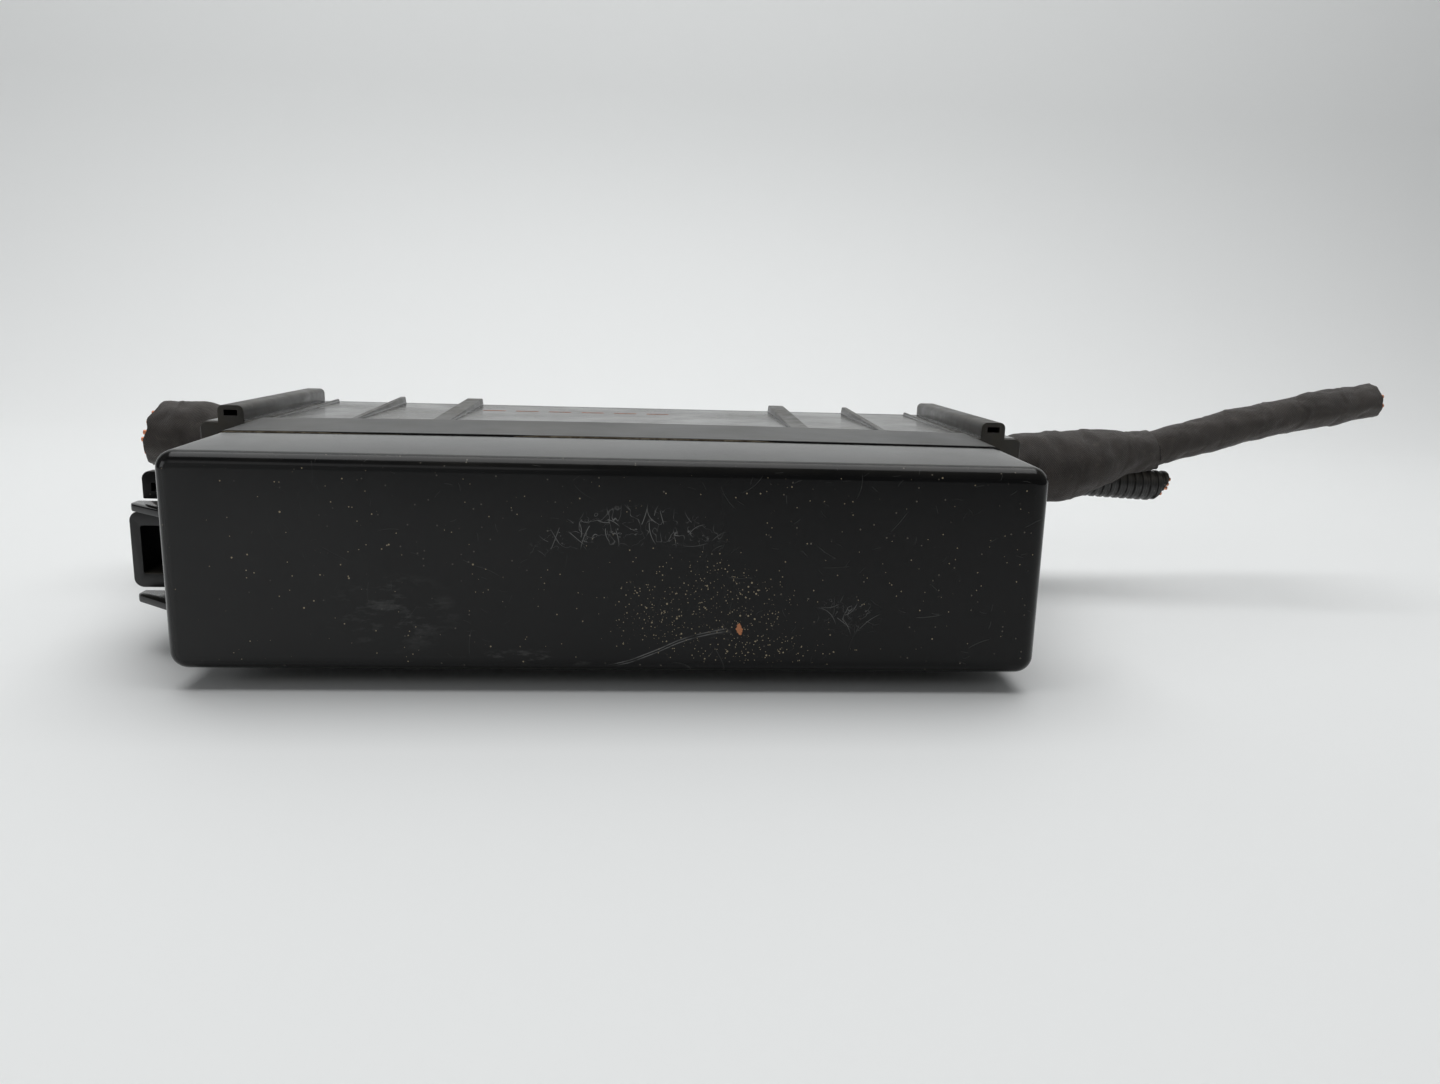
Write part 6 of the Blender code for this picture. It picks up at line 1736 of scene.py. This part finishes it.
# %% Grommets
def make_grommet(name, side):
    inner, neck, flange = BUNDLE_R + SEAM_GAP, BUNDLE_R + 0.0015, BUNDLE_R + 0.0027
    out_face, in_face, thick = BODY_HALF_W + SEAM_GAP, BODY_HALF_W - BODY_WALL - SEAM_GAP, 0.0014
    profile = [
        (inner, in_face - thick), (flange - 0.0003, in_face - thick), (flange, in_face - thick + 0.0003)
    ]
    profile += [(flange, in_face), (neck, in_face), (neck, out_face), (flange, out_face)]
    for k in range(1, 7):
        angle = math.pi / 2 * k / 6
        radius = inner + 0.0004 + (flange - inner - 0.0004) * math.cos(angle)
        profile.append((radius, out_face + thick * math.sin(angle)))
    profile.append((inner, out_face + thick - 0.0003))
    rings = []
    turns = [2 * math.pi * k / 64 for k in range(64)]
    for radius, x in profile:
        around = [(WIRE_Y + radius * math.cos(a), WIRE_Z + radius * math.sin(a)) for a in turns]
        rings.append([Vector((MID_X + side * x, y, z)) for y, z in around])
    return lofted(name, rings, closed=True)


for node_name, side in (("grommet_right", 1), ("grommet_left", -1)):
    dress(make_grommet(f"rubber_{node_name}", side), "base", RUBBER, "soft_rubber", node_name)

# %% [markdown]
# ## Relays and fuses
#
# Under the cover stand six cube relays and ten blade fuses in one panel. A relay is a lid over a base: a
# fine parting line runs round it, and its top has a shallow moulded frame. Its tinned blades are metal, so
# the faces behind the base take a metal finish. One relay mesh is made and copied to each place.

# %% Shared meshes
def two_finishes(obj, first, second, behind):
    """Faces whose middle lies behind a depth take the second material."""
    obj.data.materials.clear()
    obj.data.materials.append(first)
    obj.data.materials.append(second)
    for face in obj.data.polygons:
        face.material_index = 1 if face.center.y > behind else 0
    return obj


def make_relay_mesh():
    low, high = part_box("relay_1")
    base = panel_low[1] - SEAM_GAP
    case_tip, case_base = low[1], base
    relay = block("relay", (low[0], case_tip, low[2]), (high[0], case_base - 0.0040, high[2]), 0.0010, 4)
    foot = block(
        "foot", (low[0] + 0.0003, case_base - 0.0048, low[2] + 0.0003),
        (high[0] - 0.0003, case_base, high[2] - 0.0003), 0.0004,
    )
    inset = block(
        "frame", (low[0] + 0.0025, case_tip - 0.001, low[2] + 0.0025),
        (high[0] - 0.0025, case_tip + 0.0003, high[2] - 0.0025), 0.0,
    )
    combine(relay, [foot])
    combine(relay, [inset], "DIFFERENCE")
    middle = (low + high) / 2
    apart = 0.0130 - 0.0045
    blades = []
    for dx, dz, half_x, half_z in (
        (0, apart, 0.00315, 0.0004), (0, -apart, 0.00315, 0.0004), (-apart, 0, 0.0004, 0.00315),
        (apart, 0, 0.0004, 0.00315),
    ):
        x, z = middle.x + dx, middle.z + dz
        blade_low = (x - half_x, base - 0.0005, z - half_z)
        blade_high = (x + half_x, high[1], z + half_z)
        blades.append(block("blade", blade_low, blade_high, 0.00025, 1))
    combine(relay, blades)
    return two_finishes(relay, RELAY_BLACK, TINNED, base + 0.0001)


def copies_of(prototype, source, names, label):
    """One copy for each node, moved by the difference between the nodes' boxes."""
    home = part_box(source)[0]
    for name in names:
        piece = prototype if name == source else new_object(name, prototype.data.copy())
        piece.name = f"{label}_{name.split('_')[-1]}"
        if name != source:
            piece.data.transform(Matrix.Translation(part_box(name)[0] - home))
        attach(piece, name)
        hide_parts(name)
    print(len(names), "copies of", label)


copies_of(
    make_relay_mesh(), "relay_1", [f"relay_{k}" for k in range(6, 0, -1)], "cube_relay"
)


# %% Fuses
def make_fuse_mesh():
    low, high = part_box("fuse_1")
    base, tip, middle = panel_low[1] - SEAM_GAP, low[1], (low + high) / 2
    half_x, half_z = (high[0] - low[0]) / 2, (high[2] - low[2]) / 2
    head = tip + 0.0030
    right = [(base, half_z - 0.0008), (head + 0.0004, half_z - 0.0008), (head, half_z), (tip, half_z)]
    outline = [(y, middle.z + z) for y, z in right] + [(y, middle.z - z) for y, z in reversed(right)]
    fuse = soft_prism("fuse", outline, middle.x - half_x, middle.x + half_x, "x", 0.0004, 3)
    window = block(
        "window", (middle.x - 0.0011, tip - 0.001, middle.z - 0.0020),
        (middle.x + 0.0011, tip + 0.0006, middle.z + 0.0020), 0.0,
    )
    combine(fuse, [window], "DIFFERENCE")
    apart = half_z - 0.0014
    blades = [
        block(
            "blade", (middle.x - 0.00035, base - 0.0005, z - 0.0014),
            (middle.x + 0.00035, high[1], z + 0.0014), 0.0002, 1,
        )
        for z in (middle.z - apart, middle.z + apart)
    ]
    combine(fuse, blades)
    return two_finishes(fuse, FUSE_AMBER, TINNED, base + 0.0001)


copies_of(make_fuse_mesh(), "fuse_1", [f"fuse_{k}" for k in range(10, 0, -1)], "blade_fuse")

# %% [markdown]
# ## The other inside pieces
#
# These are plain moulded or stamped pieces whose shape is already right. A finer copy takes each one's own
# mesh, joins its loose triangles, makes its flat faces whole and rounds the long edges a little, so that
# light catches them. What only needs a finish keeps its mesh and gets the material.

# %% A finer copy
def finer(name, width, material, slot, body="base", piece_name=None):
    bm = bmesh.new()
    bm.from_mesh(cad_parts[name].data)
    bmesh.ops.remove_doubles(bm, verts=bm.verts, dist=1e-6)
    bmesh.ops.dissolve_limit(bm, angle_limit=math.radians(1.0), verts=bm.verts, edges=bm.edges)
    sharp = [e for e in bm.edges if e.is_manifold and e.calc_face_angle(0) > math.radians(40)]
    bmesh.ops.bevel(
        bm, geom=sharp, offset=width, segments=2, affect="EDGES", profile=0.6, clamp_overlap=True
    )
    piece = from_bmesh(piece_name or f"{name}_piece", bm)
    return dress(piece, body, material, slot, name)


finer("fuse_puller", 0.0006, PULLER_WHITE, "puller_white", "fuse_puller", "puller")
for k in (1, 2, 3, 4):
    finer(f"driver_{k}", 0.0004, EPOXY_BLACK, "epoxy_black")
finer("bus_bar", 0.0002, COPPER, "bare_copper")
finer("processor_chip", 0.0002, EPOXY_BLACK, "epoxy_black")
finer("board_header", 0.0003, EPOXY_BLACK, "epoxy_black")
for node_name in ("plug_left", "plug_right"):
    finer(node_name, 0.0005, PULLER_WHITE, "puller_white")


# %% Nodes that only need a finish
def give_finish(name, material):
    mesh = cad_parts[name].data
    mesh.materials.clear()
    mesh.materials.append(material)


for name, material in (
    ("cover_seal", RUBBER), ("socket_panel", PANEL_GREY), ("circuit_board", BOARD_GREEN)
):
    give_finish(name, material)
print("finishes given")


# %% Capacitors
def make_capacitor(name):
    """A can in a shrunk sleeve: rolled edges, a groove near its foot, and a vented top."""
    low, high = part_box(name)
    middle, radius, foot, top = (low + high) / 2, (high[0] - low[0]) / 2, low[2], high[2]
    profile = [(radius - 0.0012, foot)]
    for a in (0.3, 0.8, 1.2, 1.57):
        profile.append((radius - 0.0006 + 0.0006 * math.sin(a), foot + 0.0006 - 0.0006 * math.cos(a)))
    profile += [
        (radius, foot + 0.0022), (radius - 0.0006, foot + 0.0028), (radius - 0.0006, foot + 0.0034),
        (radius, foot + 0.0040),
    ]
    for a in (0, 0.5, 1.0, 1.57):
        profile.append((radius - 0.0008 + 0.0008 * math.cos(a), top - 0.0008 + 0.0008 * math.sin(a)))
    profile += [(radius - 0.0018, top), (radius - 0.0021, top - 0.0003)]
    turns = [2 * math.pi * k / 56 for k in range(56)]
    rings = []
    for r, z in profile:
        rings.append([Vector((middle.x + r * math.cos(a), middle.y + r * math.sin(a), z)) for a in turns])
    return lofted(name, rings)


for k in (1, 2):
    can = make_capacitor(f"capacitor_{k}")
    can.name = f"can_capacitor_{k}"
    dress(can, "base", SLEEVE_BLUE, "capacitor_sleeve", f"capacitor_{k}")
    can.data.materials.append(ALLOY)
    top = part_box(f"capacitor_{k}")[1][2]
    for face in can.data.polygons:
        face.material_index = 1 if face.center.z > top - 0.0004 and face.normal.z > 0.9 else 0

# %% [markdown]
# ## Heat sink
#
# An extruded alloy section: one plate with equal fins. The fins are one thin plate repeated along a line,
# so the nodes place instances on evenly spaced points and join them to the plate.

# %% Heat sink
def sink_tree(material):
    tree, given, out = nodes_tree("heat_sink", [
        ("Fins", "Int", 9), ("Start", "Vector", None),
        ("Step", "Vector", None), ("Fin size", "Vector", None),
    ])
    line = step(
        tree, "GeometryNodeMeshLine", {"mode": "OFFSET"}, Count=given.outputs["Fins"],
        Start_Location=given.outputs["Start"], Offset=given.outputs["Step"],
    )
    fin = step(tree, "GeometryNodeMeshCube", Size=given.outputs["Fin size"])
    placed = step(
        tree, "GeometryNodeInstanceOnPoints", Points=line.outputs[0], Instance=fin.outputs["Mesh"]
    )
    joined = step(tree, "GeometryNodeJoinGeometry")
    for part in (placed.outputs[0], given.outputs["Geometry"]):
        tree.links.new(part, joined.inputs[0])
    close_tree(tree, out, joined.outputs[0], material)
    return tree


def make_sink():
    low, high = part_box("heat_sink")
    fin, plate, count = 0.0014, 0.0024, 9
    base = block("sink", low, (high[0], low[1] + plate, high[2]), 0.0003)
    start = Vector((low[0] + fin / 2, (low[1] + plate + high[1]) / 2, (low[2] + high[2]) / 2))
    pitch = Vector(((high[0] - low[0] - fin) / (count - 1), 0, 0))
    size = Vector((fin, high[1] - low[1] - plate, high[2] - low[2]))
    return grow(base, sink_tree(ALLOY), Fins=count, Start=start, Step=pitch, Fin_size=size)


dress(make_sink(), "base", None, "alloy", "heat_sink")

# %% [markdown]
# ## Settled dirt and faint marks
#
# Fine tan dust has packed into the line between cover and collar, and a row of six short faint printed
# dashes crosses the top. The dust is a thin ring of its own in the gap. It stands up to the cover at the
# left and sinks deeper, in stretches, towards the right. The dashes are one pad on a line of points.

# %% Dust in the seam
DUST_PROUD = 0.0002
DUST_SUNK = 0.0009
DUST_FOOT = 0.0014


def make_seam_dust():
    """A thin ring in the gap: it stands up to the cover in stretches, and lies deep between them."""
    half = SEAM_GAP / 2 - 0.00001
    rings = []
    for along, inset in ((-half, DUST_FOOT), (-half, -DUST_PROUD), (half, -DUST_PROUD), (half, DUST_FOOT)):
        y = SEAM_Y + along
        points = []
        for high, low in zip(outer_ring(y, inset), outer_ring(y, max(inset, DUST_SUNK))):
            patch = noise.noise(Vector((high.x * 38, high.z * 60, 4.0))) * 1.2 - (high.x - MID_X) * 6.0
            points.append(low.lerp(high, min(max(patch + 0.8, 0.0), 1.0)))
        rings.append(points)
    return lofted("seam_dust", rings, closed=True)


dress(make_seam_dust(), "base", DIRT, "body_black")


# %% Dashes
def dashes_tree(material):
    tree, given, out = nodes_tree("dashes", [("Size", "Vector", None)])
    pad = step(tree, "GeometryNodeMeshCube", Size=given.outputs["Size"])
    placed = step(
        tree, "GeometryNodeInstanceOnPoints", Points=given.outputs["Geometry"], Instance=pad.outputs["Mesh"]
    )
    close_tree(tree, out, placed.outputs[0], material)
    return tree


dash_places = [
    Vector((MID_X - 0.0430 + 0.0107 * k, BODY_FRONT + 0.0530, MID_Z + BODY_HALF_H)) for k in range(6)
]
dashes = grow(
    points_object("dashes", dash_places), dashes_tree(MARK_PAINT), Size=Vector((0.0072, 0.0022, 0.00006))
)
dress(dashes, "base", None, "body_black")
